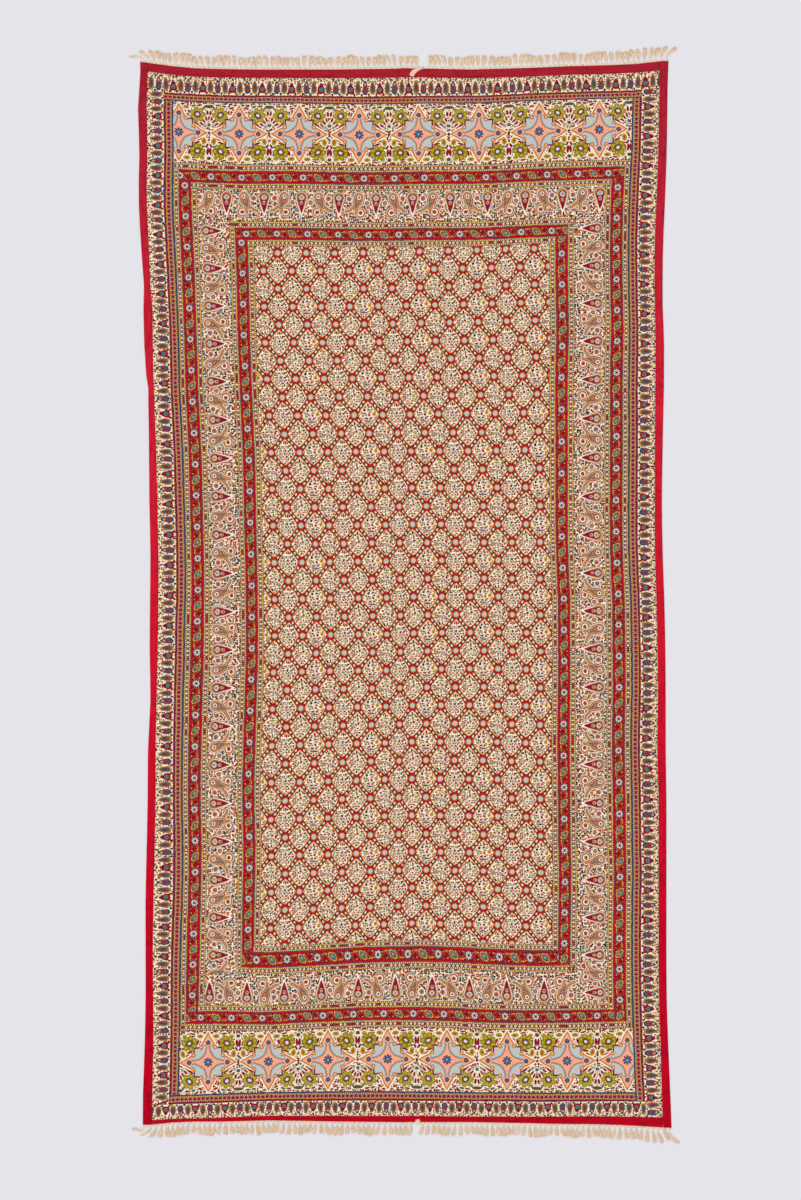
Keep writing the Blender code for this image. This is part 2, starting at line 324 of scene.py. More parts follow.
GRID_RIGHT, GRID_DOWN = np.meshgrid(COLUMNS, ROWS)
cloth_x, cloth_y = across(GRID_RIGHT), along(GRID_DOWN)
for _ in range(5):
    now_right, now_down = right_of(cloth_x), down_of(cloth_y)
    side_rows = [
        np.interp(now_down, DOWN_ROWS, t) for t in (LEFT_OUTER, LEFT_INNER, RIGHT_INNER, RIGHT_OUTER)
    ]
    end_rows = [np.interp(now_right, RIGHT_ROWS, t) for t in (TOP_ENDS, LOW_INNER, LOW_MIDDLE, LOW_OUTER)]
    left_rim = right_of(np.interp(cloth_y, *CLOTH["left"])) - EDGE[0]
    right_rim = right_of(np.interp(cloth_y, *CLOTH["right"])) - EDGE[1]
    top_rim = down_of(np.interp(cloth_x, *CLOTH["top"])) - EDGE[2]
    low_rim = down_of(np.interp(cloth_x, *CLOTH["bottom"])) - EDGE[3]
    moved_right = blend(
        GRID_RIGHT,
        [EDGE[0], 172, 215, 590, 635, EDGE[1]],
        [left_rim, *side_rows, right_rim],
    )
    moved_down = blend(
        GRID_DOWN,
        [EDGE[2], 96, 247, 955, 990, 1022, 1095, EDGE[3]],
        [top_rim, end_rows[0], end_rows[0], end_rows[1], end_rows[1], end_rows[2], end_rows[3], low_rim],
    )
    cloth_x, cloth_y = across(GRID_RIGHT + moved_right), along(GRID_DOWN + moved_down)

# %% [markdown]
# The height comes from the part, with its three lengthwise creases. Real cloth never lies quite
# flat between them, so a few long, low waves are added, under half a millimetre high. They die
# out at the rim, where the edging holds the cloth down.

# %% The cloth's height
cloth_height = surface("printed_cloth")
flat_z = np.array([[cloth_height(x, y) for x, y in zip(*row)] for row in zip(cloth_x, cloth_y)])
flat_z = np.maximum(flat_z, 0.0015)
rim = np.minimum.reduce([
    GRID_RIGHT - EDGE[0], EDGE[1] - GRID_RIGHT, GRID_DOWN - EDGE[2], EDGE[3] - GRID_DOWN
]) / 12
waves = (
    0.5
    + 0.22 * np.sin(cloth_x * 17 + 1.3 * np.sin(cloth_y * 5))
    + 0.16 * np.sin(cloth_y * 23 + cloth_x * 9)
    + 0.12 * np.sin(cloth_x * 61 - cloth_y * 31)
)
cloth_top = flat_z + 0.0005 * waves * np.clip(rim, 0, 1)
cloth_low = flat_z - 0.0015
print("cloth heights in mm:", round(cloth_top.min() * 1000, 2), "to", round(cloth_top.max() * 1000, 2))


# %% [markdown]
# ## Cutting a sheet
#
# One function makes every sheet: an upper side, an under side and a wall round the rim, from one
# grid of places. It keeps two maps. The first is the print's own layout, in steps. The second
# spreads the upper side over a square, for the baked picture of the finished piece.

# %% A sheet from a grid
def add_sheet(name, x, y, top, low, finishes, finish_of, layout):
    rows, columns = x.shape
    upper = np.stack([x, y, top], -1).reshape(-1, 3)
    under = np.stack([x, y, low], -1).reshape(-1, 3)
    number = np.arange(rows * columns).reshape(rows, columns)
    a, b, c, d = number[:-1, :-1], number[:-1, 1:], number[1:, 1:], number[1:, :-1]
    top_faces = np.stack([a, d, c, b], -1).reshape(-1, 4)
    low_faces = np.stack([a, b, c, d], -1).reshape(-1, 4) + rows * columns
    ring = np.concatenate([number[0, :-1], number[:-1, -1], number[-1, :0:-1], number[:0:-1, 0]])
    onward = np.roll(ring, -1)
    wall = np.stack([ring, onward, onward + rows * columns, ring + rows * columns], -1)
    mesh = bpy.data.meshes.new(name)
    faces = np.concatenate([top_faces, low_faces, wall])
    mesh.from_pydata(np.concatenate([upper, under]).tolist(), [], faces.tolist())
    for finish in finishes:
        mesh.materials.append(finish)
    numbers = np.concatenate([finish_of.ravel(), np.full(len(low_faces) + len(wall), len(finishes) - 1)])
    mesh.polygons.foreach_set("material_index", numbers.astype(np.int32))
    mesh.polygons.foreach_set("use_smooth", np.ones(len(faces), bool))
    print_map = mesh.uv_layers.new(name="print")
    rest = np.concatenate([upper, under])[faces[len(top_faces):], :2] / STEP
    places = np.concatenate([layout.reshape(-1, 4, 2), rest])
    print_map.data.foreach_set("uv", places.astype(np.float32).ravel())
    square = np.stack([
        np.tile(np.linspace(0.003, 0.997, columns), (rows, 1)),
        np.tile(np.linspace(0.997, 0.06, rows)[:, None], (1, columns)),
    ], -1).reshape(-1, 2)
    backside = square * (1, 0.045 / 0.94) + (0, -0.001)
    wall_map = np.tile([[0.2, 0.001], [0.8, 0.001], [0.8, 0.0016], [0.2, 0.0016]], (len(wall), 1, 1))
    baked = np.concatenate([square[top_faces], backside[low_faces - rows * columns], wall_map])
    bake_map = mesh.uv_layers.new(name="OFBake")
    bake_map.data.foreach_set("uv", baked.astype(np.float32).ravel())
    mesh.validate()
    mesh.update()
    piece = bpy.data.objects.new(name, mesh)
    bpy.context.scene.collection.objects.link(piece)
    return piece


# %% [markdown]
# ## Writing a print as sums
#
# A block print is flat shapes in a few inks. Each shape can be written as a sum over the place on
# the cloth: below a limit it is inside the shape, and ink goes there. This small class lets a
# material be written as such sums. Each sum adds one node to the material.

# %% A class for sums in a material
class Dye:
    """A number, a place or a colour inside one material."""

    def __init__(self, tree, socket):
        self.tree = tree
        self.socket = socket

    def node(self, kind, values, output=0, **settings):
        made = self.tree.nodes.new(kind)
        for name, value in settings.items():
            setattr(made, name, value)
        for key, value in values.items():
            if isinstance(value, Dye):
                self.tree.links.new(value.socket, made.inputs[key])
            else:
                made.inputs[key].default_value = value
        return Dye(self.tree, made.outputs[output])

    def math(self, operation, *values):
        return self.node("ShaderNodeMath", dict(enumerate(values)), operation=operation)

    def __add__(self, other):
        return self.math("ADD", self, other)

    def __radd__(self, other):
        return self.math("ADD", other, self)

    def __sub__(self, other):
        return self.math("SUBTRACT", self, other)

    def __rsub__(self, other):
        return self.math("SUBTRACT", other, self)

    def __mul__(self, other):
        return self.math("MULTIPLY", self, other)

    def __rmul__(self, other):
        return self.math("MULTIPLY", other, self)

    def __truediv__(self, other):
        return self.math("DIVIDE", self, other)

    def __rtruediv__(self, other):
        return self.math("DIVIDE", other, self)

    def __abs__(self):
        return self.math("ABSOLUTE", self)

    def __lt__(self, other):
        return self.math("LESS_THAN", self, other)

    def __gt__(self, other):
        return self.math("GREATER_THAN", self, other)

    def least(self, other):
        return self.math("MINIMUM", self, other)

    def most(self, other):
        return self.math("MAXIMUM", self, other)

    def power(self, other):
        return self.math("POWER", self, other)

    def wave(self):
        return self.math("SINE", self)

    def whole(self):
        return self.math("FLOOR", self)

    def kept(self, low, high):
        return self.most(low).least(high)

    def repeat(self, pitch):
        """The same value counted from the middle of each repeat, from -pitch/2 to pitch/2."""
        return self.math("WRAP", self, pitch / 2, -pitch / 2)

    def place(self, other, third=0.0):
        return self.node("ShaderNodeCombineXYZ", {0: self, 1: other, 2: third})

    def split(self):
        """The numbers that a place is made of."""
        parts = self.node("ShaderNodeSeparateXYZ", {0: self}).socket.node
        return [Dye(self.tree, socket) for socket in parts.outputs]

    def vector(self, operation, *values, output=0):
        places = dict(enumerate((self, *values)))
        return self.node("ShaderNodeVectorMath", places, output, operation=operation)

    def noise(self, scale, detail, output=0, sides="3D"):
        values = {"Vector": self, "Scale": scale, "Detail": detail}
        return self.node("ShaderNodeTexNoise", values, output, noise_dimensions=sides)

    def bump(self, strength, distance):
        values = {"Height": self, "Strength": strength, "Distance": distance}
        return self.node("ShaderNodeBump", values)

    def mix(self, first, second):
        """From the first colour to the second, by this number."""
        return self.node("ShaderNodeMix", {0: self, 6: first, 7: second}, 2, data_type="RGBA")

    def tinted(self, tint):
        """This colour times a tint."""
        values = {0: 1.0, 6: self, 7: tint}
        return self.node("ShaderNodeMix", values, 2, data_type="RGBA", blend_type="MULTIPLY")

    def reach(self, other):
        """How far a place given by two numbers lies from nought."""
        return (self * self + other * other).power(0.5)

    def ink(self, colour, where):
        """This colour, with another one laid over it where the mask is 1."""
        return where.mix(self, colour)


def oval(place, at, size, turn=0.0):
    """How far out of an oval a place is: below 1 it is inside."""
    if turn:
        values = {0: place, 1: (at[0], at[1], 0), 3: math.radians(turn)}
        place = place.node("ShaderNodeVectorRotate", values, rotation_type="Z_AXIS")
    scale = (1 / size[0], 1 / size[1], 0)
    shift = (-at[0] / size[0], -at[1] / size[1], 0)
    return place.vector("MULTIPLY_ADD", scale, shift).vector("LENGTH", output=1)


def tear(x, y, middle, tip, radius, fall=0.85):
    """How far out of a drop a place is: a round head about the middle, and a point at the tip."""
    below = ((middle - y) / (middle - tip)).kept(0, 0.999)
    above = (y - middle).most(0)
    return x.reach(above) / ((1 - below).power(fall) * radius)


def line(x, y, start, stop):
    """How far a place is from a straight line between two places."""
    run, rise = stop[0] - start[0], stop[1] - start[1]
    share = (((x - start[0]) * run + (y - start[1]) * rise) / (run * run + rise * rise)).kept(0, 1)
    return (x - start[0] - share * run).reach(y - start[1] - share * rise)


def petals(x, y, count, middle, wide, long):
    """How far out of the petals of a flower a place is, with the petals' middles on a circle."""
    part = (x.math("ARCTAN2", y, x) * (count / (2 * math.pi))).repeat(1.0)
    arc = part * (2 * math.pi * middle / count)
    return oval(arc.place(x.reach(y) - middle), (0, 0), (wide, long))


def speckle(place, size, fill, ground, inks, uneven=0.7):
    """Cotton with small dots of ink scattered over it. Each ink comes with its share of the dots."""
    values = {"Vector": place, "Scale": 1 / size, "Randomness": uneven}
    cell = place.node("ShaderNodeTexVoronoi", values, 0, voronoi_dimensions="2D")
    chance = Dye(place.tree, cell.socket.node.outputs[1]).split()[0]
    chart = place.node("ShaderNodeValToRGB", {0: chance})
    ramp = chart.socket.node.color_ramp
    ramp.interpolation = "CONSTANT"
    ramp.elements[1].position = 1.0
    start = 0.0
    for share, ink in inks:
        stop = ramp.elements[0] if start == 0.0 else ramp.elements.new(start)
        stop.color = ink
        start += share
    return (cell < fill).mix(ground, chart)


def rings_of(colour, out, *steps):
    """Lay one ink inside the next: each step is a limit and a colour, from the outside in."""
    for limit, ink in steps:
        colour = colour.ink(ink, out < limit)
    return colour


def rgb(red, green, blue):
    """An ink, from the 0 to 255 that a painter's chart uses, as the light that it returns."""
    return tuple(
        ((v / 255 + 0.055) / 1.055) ** 2.4 if v > 10 else v / 3294 for v in (red, green, blue)
    ) + (1.0,)


# %% [markdown]
# The inks of the print. Kalamkari is printed with madder red, indigo, pomegranate yellow, an iron
# black and their overprints, on cotton that stays a warm cream.

# %% The inks
CREAM = rgb(250, 234, 212)
OLIVE = rgb(112, 96, 50)
MADDER = rgb(134, 20, 34)
WINE = rgb(134, 20, 56)
PURPLE = rgb(104, 62, 92)
BLACK = rgb(50, 34, 40)
NAVY = rgb(44, 58, 92)


def new_finish(name, roughness, shine):
    """An empty material with one shader, whose colour and bump are linked by the caller."""
    finish = bpy.data.materials.new(name)
    finish.use_nodes = True
    tree = finish.node_tree
    tree.nodes.clear()
    out = tree.nodes.new("ShaderNodeOutputMaterial")
    shader = tree.nodes.new("ShaderNodeBsdfPrincipled")
    shader.inputs["Roughness"].default_value = roughness
    shader.inputs["Specular IOR Level"].default_value = shine
    tree.links.new(shader.outputs[0], out.inputs[0])
    return finish, tree, shader


def on_object(tree):
    """The place on the piece itself, in metres."""
    return Dye(tree, tree.nodes.new("ShaderNodeTexCoord").outputs["Object"])


# Each lengthwise crease: how far to the right it lies, in metres, and how much painted shade darkens the
# print along it.
CREASE_SHADES = [(-0.0065, 0.16), (-0.401, 0.05), (0.3966, 0.05)]
# How far to each side of a crease its painted shade reaches, in metres.
CREASE_SHADE_REACH = 0.0045


def cotton(name, paint):
    """A material: printed cotton, painted by a function of the place in the print's layout."""
    finish, tree, shader = new_finish(name, roughness=0.92, shine=0.15)
    layout = tree.nodes.new("ShaderNodeUVMap")
    layout.uv_map = "print"
    there = Dye(tree, layout.outputs[0])
    uneven = there.noise(0.16, 1.0, 1, "2D").vector("MULTIPLY_ADD", (1.1, 1.1, 0), (-0.55, -0.55, 0))
    place = there.vector("ADD", uneven)
    right, up, _ = place.split()
    colour = paint(place, right, up)
    tone_and_crease_shade = there.noise(0.45, 3.0, 0, "2D") * 0.30 + 0.85
    seat = on_object(tree).split()[0]
    # Painted shade: the print is darkened in a narrow strip along each crease.
    for fold_at, shade_depth in CREASE_SHADES:
        tone_and_crease_shade = tone_and_crease_shade - (1 - abs(seat - fold_at) / CREASE_SHADE_REACH).kept(0, 1) * shade_depth
    # The tint yellows the print a little for the cloth's age. It also carries the random tone and the
    # painted crease shade.
    aged_tone_and_crease_shade = tone_and_crease_shade.place(tone_and_crease_shade * 0.97, tone_and_crease_shade * 0.92)
    colour = colour.tinted(aged_tone_and_crease_shade)
    tree.links.new(colour.socket, shader.inputs["Base Color"])
    bump = there.noise(2.4, 2.0, 0, "2D").bump(0.15, 0.0006)
    tree.links.new(bump.socket, shader.inputs["Normal"])
    return finish


# %% [markdown]
# ## The field
#
# The field is a net of ogee cells. Two sets of cells, half a repeat apart, fill it: each place
# belongs to the nearer set, and counts from the middle of its own cell. Bars run from rosette to
# rosette, with pale beads on an olive core between red lines. Each cell holds a small spray.

# %% The field's net and sprays
CELL_WIDE = 28.7
CELL_LONG = 35.9
BROWN = rgb(150, 96, 70)
DRAB = rgb(146, 132, 92)
SMOKE = rgb(120, 128, 136)
GOLD = rgb(208, 162, 60)
BOTTLE = rgb(66, 96, 82)

# Each stroke of a spray: steps right and down from the cell's middle, half its width and length,
# its turn in degrees and its ink. The four sprays take turns along the rows.
SPRAYS = [
    [
        (0.4, -9.2, 0.8, 1.9, 0, MADDER), (-3.0, -5.2, 1.0, 0.9, 0, BROWN),
        (-1.4, -5.6, 0.9, 0.9, 0, SMOKE), (1.2, -5.4, 0.8, 1.2, 0, DRAB),
        (5.7, -2.6, 0.9, 2.0, -35, BOTTLE), (0.0, -1.2, 1.0, 1.6, 0, MADDER),
        (3.5, -1.0, 1.2, 1.0, 20, WINE), (-4.6, -1.0, 1.7, 1.1, 0, DRAB),
        (-7.6, -1.4, 0.8, 1.5, 20, SMOKE), (-1.0, 1.9, 1.0, 1.1, 0, BOTTLE),
        (4.6, 1.4, 0.9, 1.1, 0, BROWN), (7.5, 1.4, 1.1, 1.0, 0, MADDER),
        (-2.6, 4.2, 1.2, 0.9, 0, rgb(190, 84, 60)), (1.4, 4.4, 1.4, 0.9, 0, MADDER),
        (6.0, 4.8, 0.9, 1.8, 40, MADDER), (-5.8, 4.0, 0.8, 1.5, -40, DRAB),
        (-2.4, 7.2, 1.3, 0.8, 0, SMOKE), (0.8, 7.2, 1.0, 0.9, 0, BROWN),
        (1.0, 9.4, 1.1, 0.7, 0, MADDER), (-0.5, 11.2, 0.8, 1.0, 0, NAVY),
        (-3.6, 9.2, 1.2, 0.6, -30, BROWN),
    ],
    [
        (0.2, -9.4, 0.9, 1.7, 0, MADDER), (1.2, -7.4, 0.9, 0.9, 0, MADDER),
        (-2.8, -7.0, 1.0, 0.9, 0, BLACK), (-4.0, -4.4, 1.2, 1.5, -20, BLACK),
        (0.4, -4.9, 1.4, 0.9, 0, NAVY), (3.2, -4.3, 1.2, 0.9, 0, DRAB),
        (7.2, -3.6, 0.8, 2.0, -35, SMOKE), (-6.6, -1.6, 0.9, 1.6, 0, SMOKE),
        (-5.4, 1.2, 1.4, 1.2, 0, DRAB), (-2.5, 0.8, 1.1, 0.9, 0, BROWN),
        (0.9, 0.3, 1.1, 1.4, 15, MADDER), (5.8, -0.8, 1.9, 2.1, 0, GOLD),
        (5.9, -0.7, 0.8, 1.0, 0, BROWN), (-2.2, 3.9, 1.7, 0.9, 0, MADDER),
        (1.9, 3.9, 1.4, 0.9, 0, MADDER), (-6.4, 5.0, 1.2, 0.9, 20, DRAB),
        (6.5, 5.0, 1.2, 0.9, -20, BROWN), (-0.2, 6.9, 4.4, 0.65, 0, NAVY),
        (-2.8, 8.7, 1.2, 0.8, 0, rgb(170, 60, 50)), (2.0, 8.9, 1.2, 0.8, 0, rgb(170, 60, 50)),
        (-0.4, 10.8, 1.1, 1.2, 0, BOTTLE),
    ],
    [
        (-0.2, -9.4, 0.9, 1.9, 0, BLACK), (0.6, -5.2, 1.1, 2.2, 0, rgb(134, 126, 60)),
        (1.2, -1.5, 1.3, 1.3, 0, rgb(160, 20, 36)), (5.6, -3.3, 1.2, 1.1, 0, NAVY),
        (7.1, -1.3, 0.9, 0.9, 0, BLACK), (4.6, 0.4, 1.8, 1.7, 0, rgb(176, 160, 84)),
        (-3.6, -2.8, 1.3, 0.8, 0, BROWN), (-5.0, -5.0, 2.2, 0.8, -10, SMOKE),
        (-6.6, 0.6, 1.6, 0.8, 20, MADDER), (-2.4, 1.8, 0.9, 1.3, 0, DRAB),
        (-1.6, 5.2, 1.6, 0.8, -20, rgb(200, 110, 90)), (3.0, 5.0, 1.6, 0.8, 20, BROWN),
        (-5.6, 3.8, 1.8, 0.7, -40, BROWN), (6.6, 3.4, 0.8, 1.4, 30, SMOKE),
        (0.0, 7.4, 2.6, 0.7, 0, DRAB), (-0.2, 9.8, 0.9, 1.4, 0, BOTTLE),
        (2.6, 7.9, 0.9, 0.9, 0, MADDER), (-3.0, 8.1, 0.9, 0.9, 0, MADDER),
    ],
    [
        (0.2, -8.6, 1.1, 1.2, 0, PURPLE), (0.0, -6.2, 3.2, 0.8, 0, rgb(150, 140, 60)),
        (2.5, -4.2, 1.2, 0.8, 0, GOLD), (-4.0, -4.6, 1.1, 1.0, 0, MADDER),
        (-0.5, -3.2, 1.3, 0.9, 0, SMOKE), (6.2, -2.4, 1.3, 1.0, 0, BOTTLE),
        (-6.8, -1.6, 1.3, 0.8, 0, MADDER), (-3.0, -1.6, 1.5, 1.0, 0, BROWN),
        (1.4, -1.6, 1.2, 1.2, 0, rgb(150, 50, 44)), (4.8, -0.4, 1.1, 1.7, 20, rgb(140, 50, 40)),
        (-1.0, 1.4, 1.1, 0.9, 0, DRAB), (2.4, 1.6, 1.0, 1.0, 0, BROWN),
        (-3.8, 2.6, 0.7, 3.4, -52, BROWN), (5.0, 4.4, 1.6, 0.8, 25, PURPLE),
        (-0.2, 5.4, 1.6, 0.8, 0, DRAB), (-4.4, 6.2, 1.2, 0.7, -40, MADDER),
        (0.4, 8.4, 0.8, 1.7, 0, BOTTLE), (3.0, 7.4, 1.0, 0.7, 30, BROWN),
    ],
]


def strokes(colour, spot, marks, to_right=0.0):
    """Lay each stroke of a chart on the colour."""
    laid = [
        (oval(spot, (x + to_right, y), (wide, long), turn), ink) for x, y, wide, long, turn, ink in marks
    ]
    bare = laid[0][0]
    for out, _ in laid[1:]:
        bare = bare.least(out)
    colour = colour.ink(CREAM, bare < 1.5)
    for out, ink in laid:
        colour = colour.ink(ink, out < 1.04)
    return colour


FINE = [
    (0.28, rgb(104, 14, 16)), (0.2, rgb(138, 66, 40)), (0.18, rgb(96, 88, 46)), (0.13, rgb(46, 30, 32)),
    (0.09, rgb(92, 104, 118)), (0.12, rgb(206, 108, 76)),
]


def paint_field(place, right, down):
    a, b = right / CELL_WIDE, down / CELL_LONG
    first_x, first_y = a.repeat(1.0), b.repeat(1.0)
    second = (abs(first_x) + abs(first_y)) > 0.5
    x = first_x + ((a + 0.5).repeat(1.0) - first_x) * second
    y = first_y + ((b + 0.5).repeat(1.0) - first_y) * second
    wide, long = x * CELL_WIDE, y * CELL_LONG + 0.3
    column = (a + 0.5 - second * 0.5).whole()
    kind = second * 2 + column.math("FLOORED_MODULO", column, 2.0)
    round_off = (long > 0) * 0.14 + 1.17
    cell = (abs(wide) / 9.8).power(round_off) + (abs(long) / 12.1).power(round_off)
    out = (cell - 1) * 7.2
    side = ((abs(x) - 0.5) * CELL_WIDE).reach(y * CELL_LONG)
    ends = wide.reach((abs(y) - 0.5) * CELL_LONG)
    rosette = side.least(ends)
    spot = (wide + kind * 100).place(long)
    colour = speckle(spot, 2.3, 0.44, rgb(255, 238, 214), FINE, 0.7)
    for number, marks in enumerate(SPRAYS):
        colour = strokes(colour, spot, marks, number * 100)
    colour = colour.ink(rgb(244, 190, 100), out > 0)
    colour = colour.ink(rgb(196, 88, 26), out > 0.45)
    colour = colour.ink(rgb(142, 20, 20), out > 0.9)
    bar = (0.5 - (abs(x) + abs(y))) / 0.0446
    colour = colour.ink(rgb(84, 50, 36), (bar < 1.0) * (out > 1.75))
    beads = ((abs(x) - abs(y)).repeat(0.205) * 23).place(bar)
    colour = rings_of(
        colour, oval(beads, (0, 0), (1.6, 1.0)), (1.0, rgb(150, 166, 146)), (0.75, rgb(222, 230, 222))
    )
    colour = colour.ink(rgb(190, 8, 32), (rosette < 4.5) * (out > 0.85))
    return rings_of(
        colour,
        rosette,
        (3.2, rgb(112, 40, 44)),
        (2.85, rgb(150, 166, 142)),
        (2.2, rgb(192, 202, 180)),
        (1.0, rgb(222, 176, 166)),
    )


# %% [markdown]
# ## The guards, the beads and the red vine
#
# Narrow guards part the borders: a chain of small squares between dashed yellow lines. They're
# printed with one block of about 178 mm, and a larger dot marks where one print meets the next.

# %% Narrow borders
def paint_guard(place, u, v):
    dash = abs(u.repeat(2.1)) < 0.66
    colour = dash.mix(rgb(92, 92, 68), rgb(228, 192, 108))
    colour = colour.ink(rgb(104, 66, 68), abs(v) < 1.3)
    run = ((u + 2.1) / 4.2).whole()
    chance = place.node("ShaderNodeTexWhiteNoise", {0: run.place(run)}, 0, noise_dimensions="2D")
    bead = oval(u.repeat(4.2).place(v), (0, 0), (1.25, 1.05))
    colour = colour.ink(rgb(228, 196, 180), bead < 1)
    colour = colour.ink(rgb(158, 14, 54), (bead < 1.1) * (chance < 0.11))
    colour = colour.ink(rgb(66, 66, 78), abs(v) > 2.6)
    joint = oval(u.repeat(61.3).place(v), (0, 0), (2.1, 2.1))
    return rings_of(colour, joint, (1.0, WINE), (0.55, rgb(240, 200, 190)))


def paint_beads(place, u, v):
    dash = abs(u.repeat(2.1)) < 0.6
    colour = dash.mix(rgb(92, 82, 48), rgb(232, 168, 72))
    colour = colour.ink(rgb(150, 134, 110), abs(v - 0.1) < 1.9)
    colour = colour.ink(rgb(156, 0, 50), oval(u.repeat(4.27).place(v), (0, 0.1), (1.65, 1.6)) < 1)
    colour = colour.ink(rgb(106, 26, 62), abs(v - 3.6) < 0.8)
    colour = colour.ink(rgb(46, 66, 102), abs(v + 3.6) < 0.75)
    return colour.ink(rgb(134, 108, 74), abs(v) > 4.35)


def paint_vine(place, u, v):
    patch = place.noise(0.55, 1.0, 0, "2D")
    colour = (patch > 0.5).mix(rgb(174, 0, 32), rgb(106, 12, 34))
    stem = v - (u * (2 * math.pi / 30.7)).wave() * 2.9
    colour = colour.ink(rgb(216, 158, 66), abs(stem) < 0.33)
    curl = v + (u * (6 * math.pi / 30.7)).wave() * 2.2
    colour = colour.ink(rgb(200, 128, 52), abs(curl) < 0.24)
    near = u.repeat(7.675).place(abs(v))
    colour = colour.ink(rgb(84, 100, 58), oval(near, (1.9, 3.2), (1.2, 0.7), 35) < 1)
    colour = colour.ink(rgb(214, 160, 74), oval(near, (-1.9, 2.9), (0.9, 0.5), -35) < 1)
    colour = colour.ink(rgb(96, 112, 116), oval(u.repeat(15.35).place(v), (4.2, -2.2), (1.3, 0.9), 20) < 1)
    x = u.repeat(30.7)
    colour = colour.ink(rgb(120, 20, 44), x.reach(v) < 3.9)
    bloom = petals(x, v, 8, 2.2, 0.8, 1.25)
    colour = rings_of(colour, bloom, (1.0, rgb(146, 160, 166)), (0.75, rgb(212, 216, 212)))
    colour = colour.ink(rgb(130, 44, 26), x.reach(v) < 1.2)
    leaf = oval((u + 15.35).repeat(30.7).place(v), (0, 0), (5.3, 2.7), 38)
    inner = oval((u + 15.35).repeat(30.7).place(v), (0.3, -0.3), (3.6, 1.5), 38)
    colour = rings_of(
        colour, leaf, (1.16, rgb(112, 12, 34)), (1.0, rgb(214, 164, 70)), (0.78, rgb(96, 84, 66))
    )
    colour = rings_of(colour, inner, (1.0, rgb(70, 108, 132)), (0.4, rgb(176, 172, 130)))
    colour = colour.ink(rgb(190, 2, 36), abs(v) > 4.5)
    return colour.ink(rgb(98, 52, 70), abs(v) > 5.4)


# %% [markdown]
# ## The paisley border
#
# A straight drop and a bent one, the boteh or paisley, follow each other. Each second pair is
# turned over, so that the layout folds about every drop and about every second gap.

# %% The paisley border
SPRIGS = [
    (0.26, rgb(180, 90, 50)), (0.2, rgb(130, 26, 28)), (0.18, rgb(86, 90, 58)), (0.15, rgb(42, 46, 60)),
    (0.11, rgb(104, 128, 142)), (0.12, rgb(210, 150, 110)),
]


def paint_paisleys(place, u, v):
    x = abs(u.repeat(75.0))
    colour = speckle(place, 2.15, 0.5, rgb(252, 234, 212), SPRIGS, 0.8)
    colour = rings_of(
        colour,
        (x - 9.0).reach(v - 3.2),
        (3.1, rgb(248, 224, 206)),
        (2.3, rgb(190, 90, 60)),
        (1.3, rgb(120, 136, 140)),
    )
    for middle in (0.0, 37.5):
        halo = tear(x - middle, v, 7.6, -11.0, 6.8)
        colour = rings_of(colour, halo, (1.0, rgb(136, 142, 130)), (0.85, rgb(255, 242, 226)))
        body = tear(x - middle, v, 7.8, -7.4, 5.3, 0.78)
        colour = rings_of(colour, body, (1.0, rgb(190, 112, 46)), (0.74, rgb(148, 10, 40)))
        disc = oval((x - middle).place(v), (0, 8.0), (2.9, 2.4))
        colour = rings_of(
            colour, disc, (1.2, rgb(112, 20, 40)), (1.0, rgb(184, 196, 192)), (0.35, rgb(140, 110, 110))
        )
        colour = colour.ink(rgb(216, 150, 110), (x - middle).reach(v - 10.2) < 1.2)
        colour = colour.ink(rgb(206, 164, 144), oval((x - middle).place(v), (0, 2.8), (1.5, 2.0)) < 1)
        colour = colour.ink(rgb(96, 60, 90), (x - middle).reach(v - 2.4) < 0.8)
        colour = colour.ink(rgb(84, 30, 78), oval((x - middle).place(v), (0, -1.0), (0.8, 1.3)) < 1)
    curl = (x - 15.6).reach(v + 6.2)
    colour = rings_of(
        colour,
        curl,
        (5.8, rgb(136, 146, 126)),
        (5.0, rgb(250, 230, 208)),
        (4.6, rgb(178, 88, 38)),
        (3.2, rgb(250, 230, 208)),
        (1.9, rgb(150, 60, 50)),
    )
    left = line(x, v, (17.6, 3.0), (20.4, -6.8)) - 1.3
    right = line(x, v, (19.6, 2.6), (27.6, -4.4)).least(line(x, v, (27.6, -4.4), (30.6, -5.2))) - 1.3
    belly = line(x, v, (17.3, 8.6), (18.6, 4.4)) - 4.7
    waist = line(x, v, (18.4, 4.4), (20.6, -0.4)) - 3.3
    body = left.least(right).least(belly).least(waist)
    colour = rings_of(
        colour,
        body,
        (1.3, rgb(150, 156, 138)),
        (0.6, rgb(250, 232, 210)),
        (0.0, rgb(164, 78, 36)),
        (-1.0, rgb(220, 168, 112)),
        (-1.7, rgb(150, 84, 54)),
        (-2.3, rgb(92, 124, 132)),
        (-3.4, rgb(206, 120, 76)),
    )
    colour = colour.ink(rgb(150, 60, 50), ((v * 0.9 + x * 0.4).repeat(2.8) > 0.8) * (body < -2.0))
    colour = colour.ink(rgb(250, 232, 210), (x - 17.2).reach(v - 8.8) < 2.0)
    colour = colour.ink(rgb(64, 92, 128), (x - 17.2).reach(v - 8.8) < 1.1)
    small = (x - 27.0).reach(v - 7.2)
    colour = rings_of(
        colour,
        small,
        (3.2, rgb(250, 232, 212)),
        (2.5, rgb(200, 110, 66)),
        (1.7, rgb(96, 116, 140)),
        (0.9, rgb(170, 50, 50)),
    )
    return colour


# %% [markdown]
# ## The star band
#
# Pink stars with four ogee points stand point to point. Each is drawn once, in a quarter that
# folds over both of its middle lines. Yellow flowers and dark red leaves fill the ground.

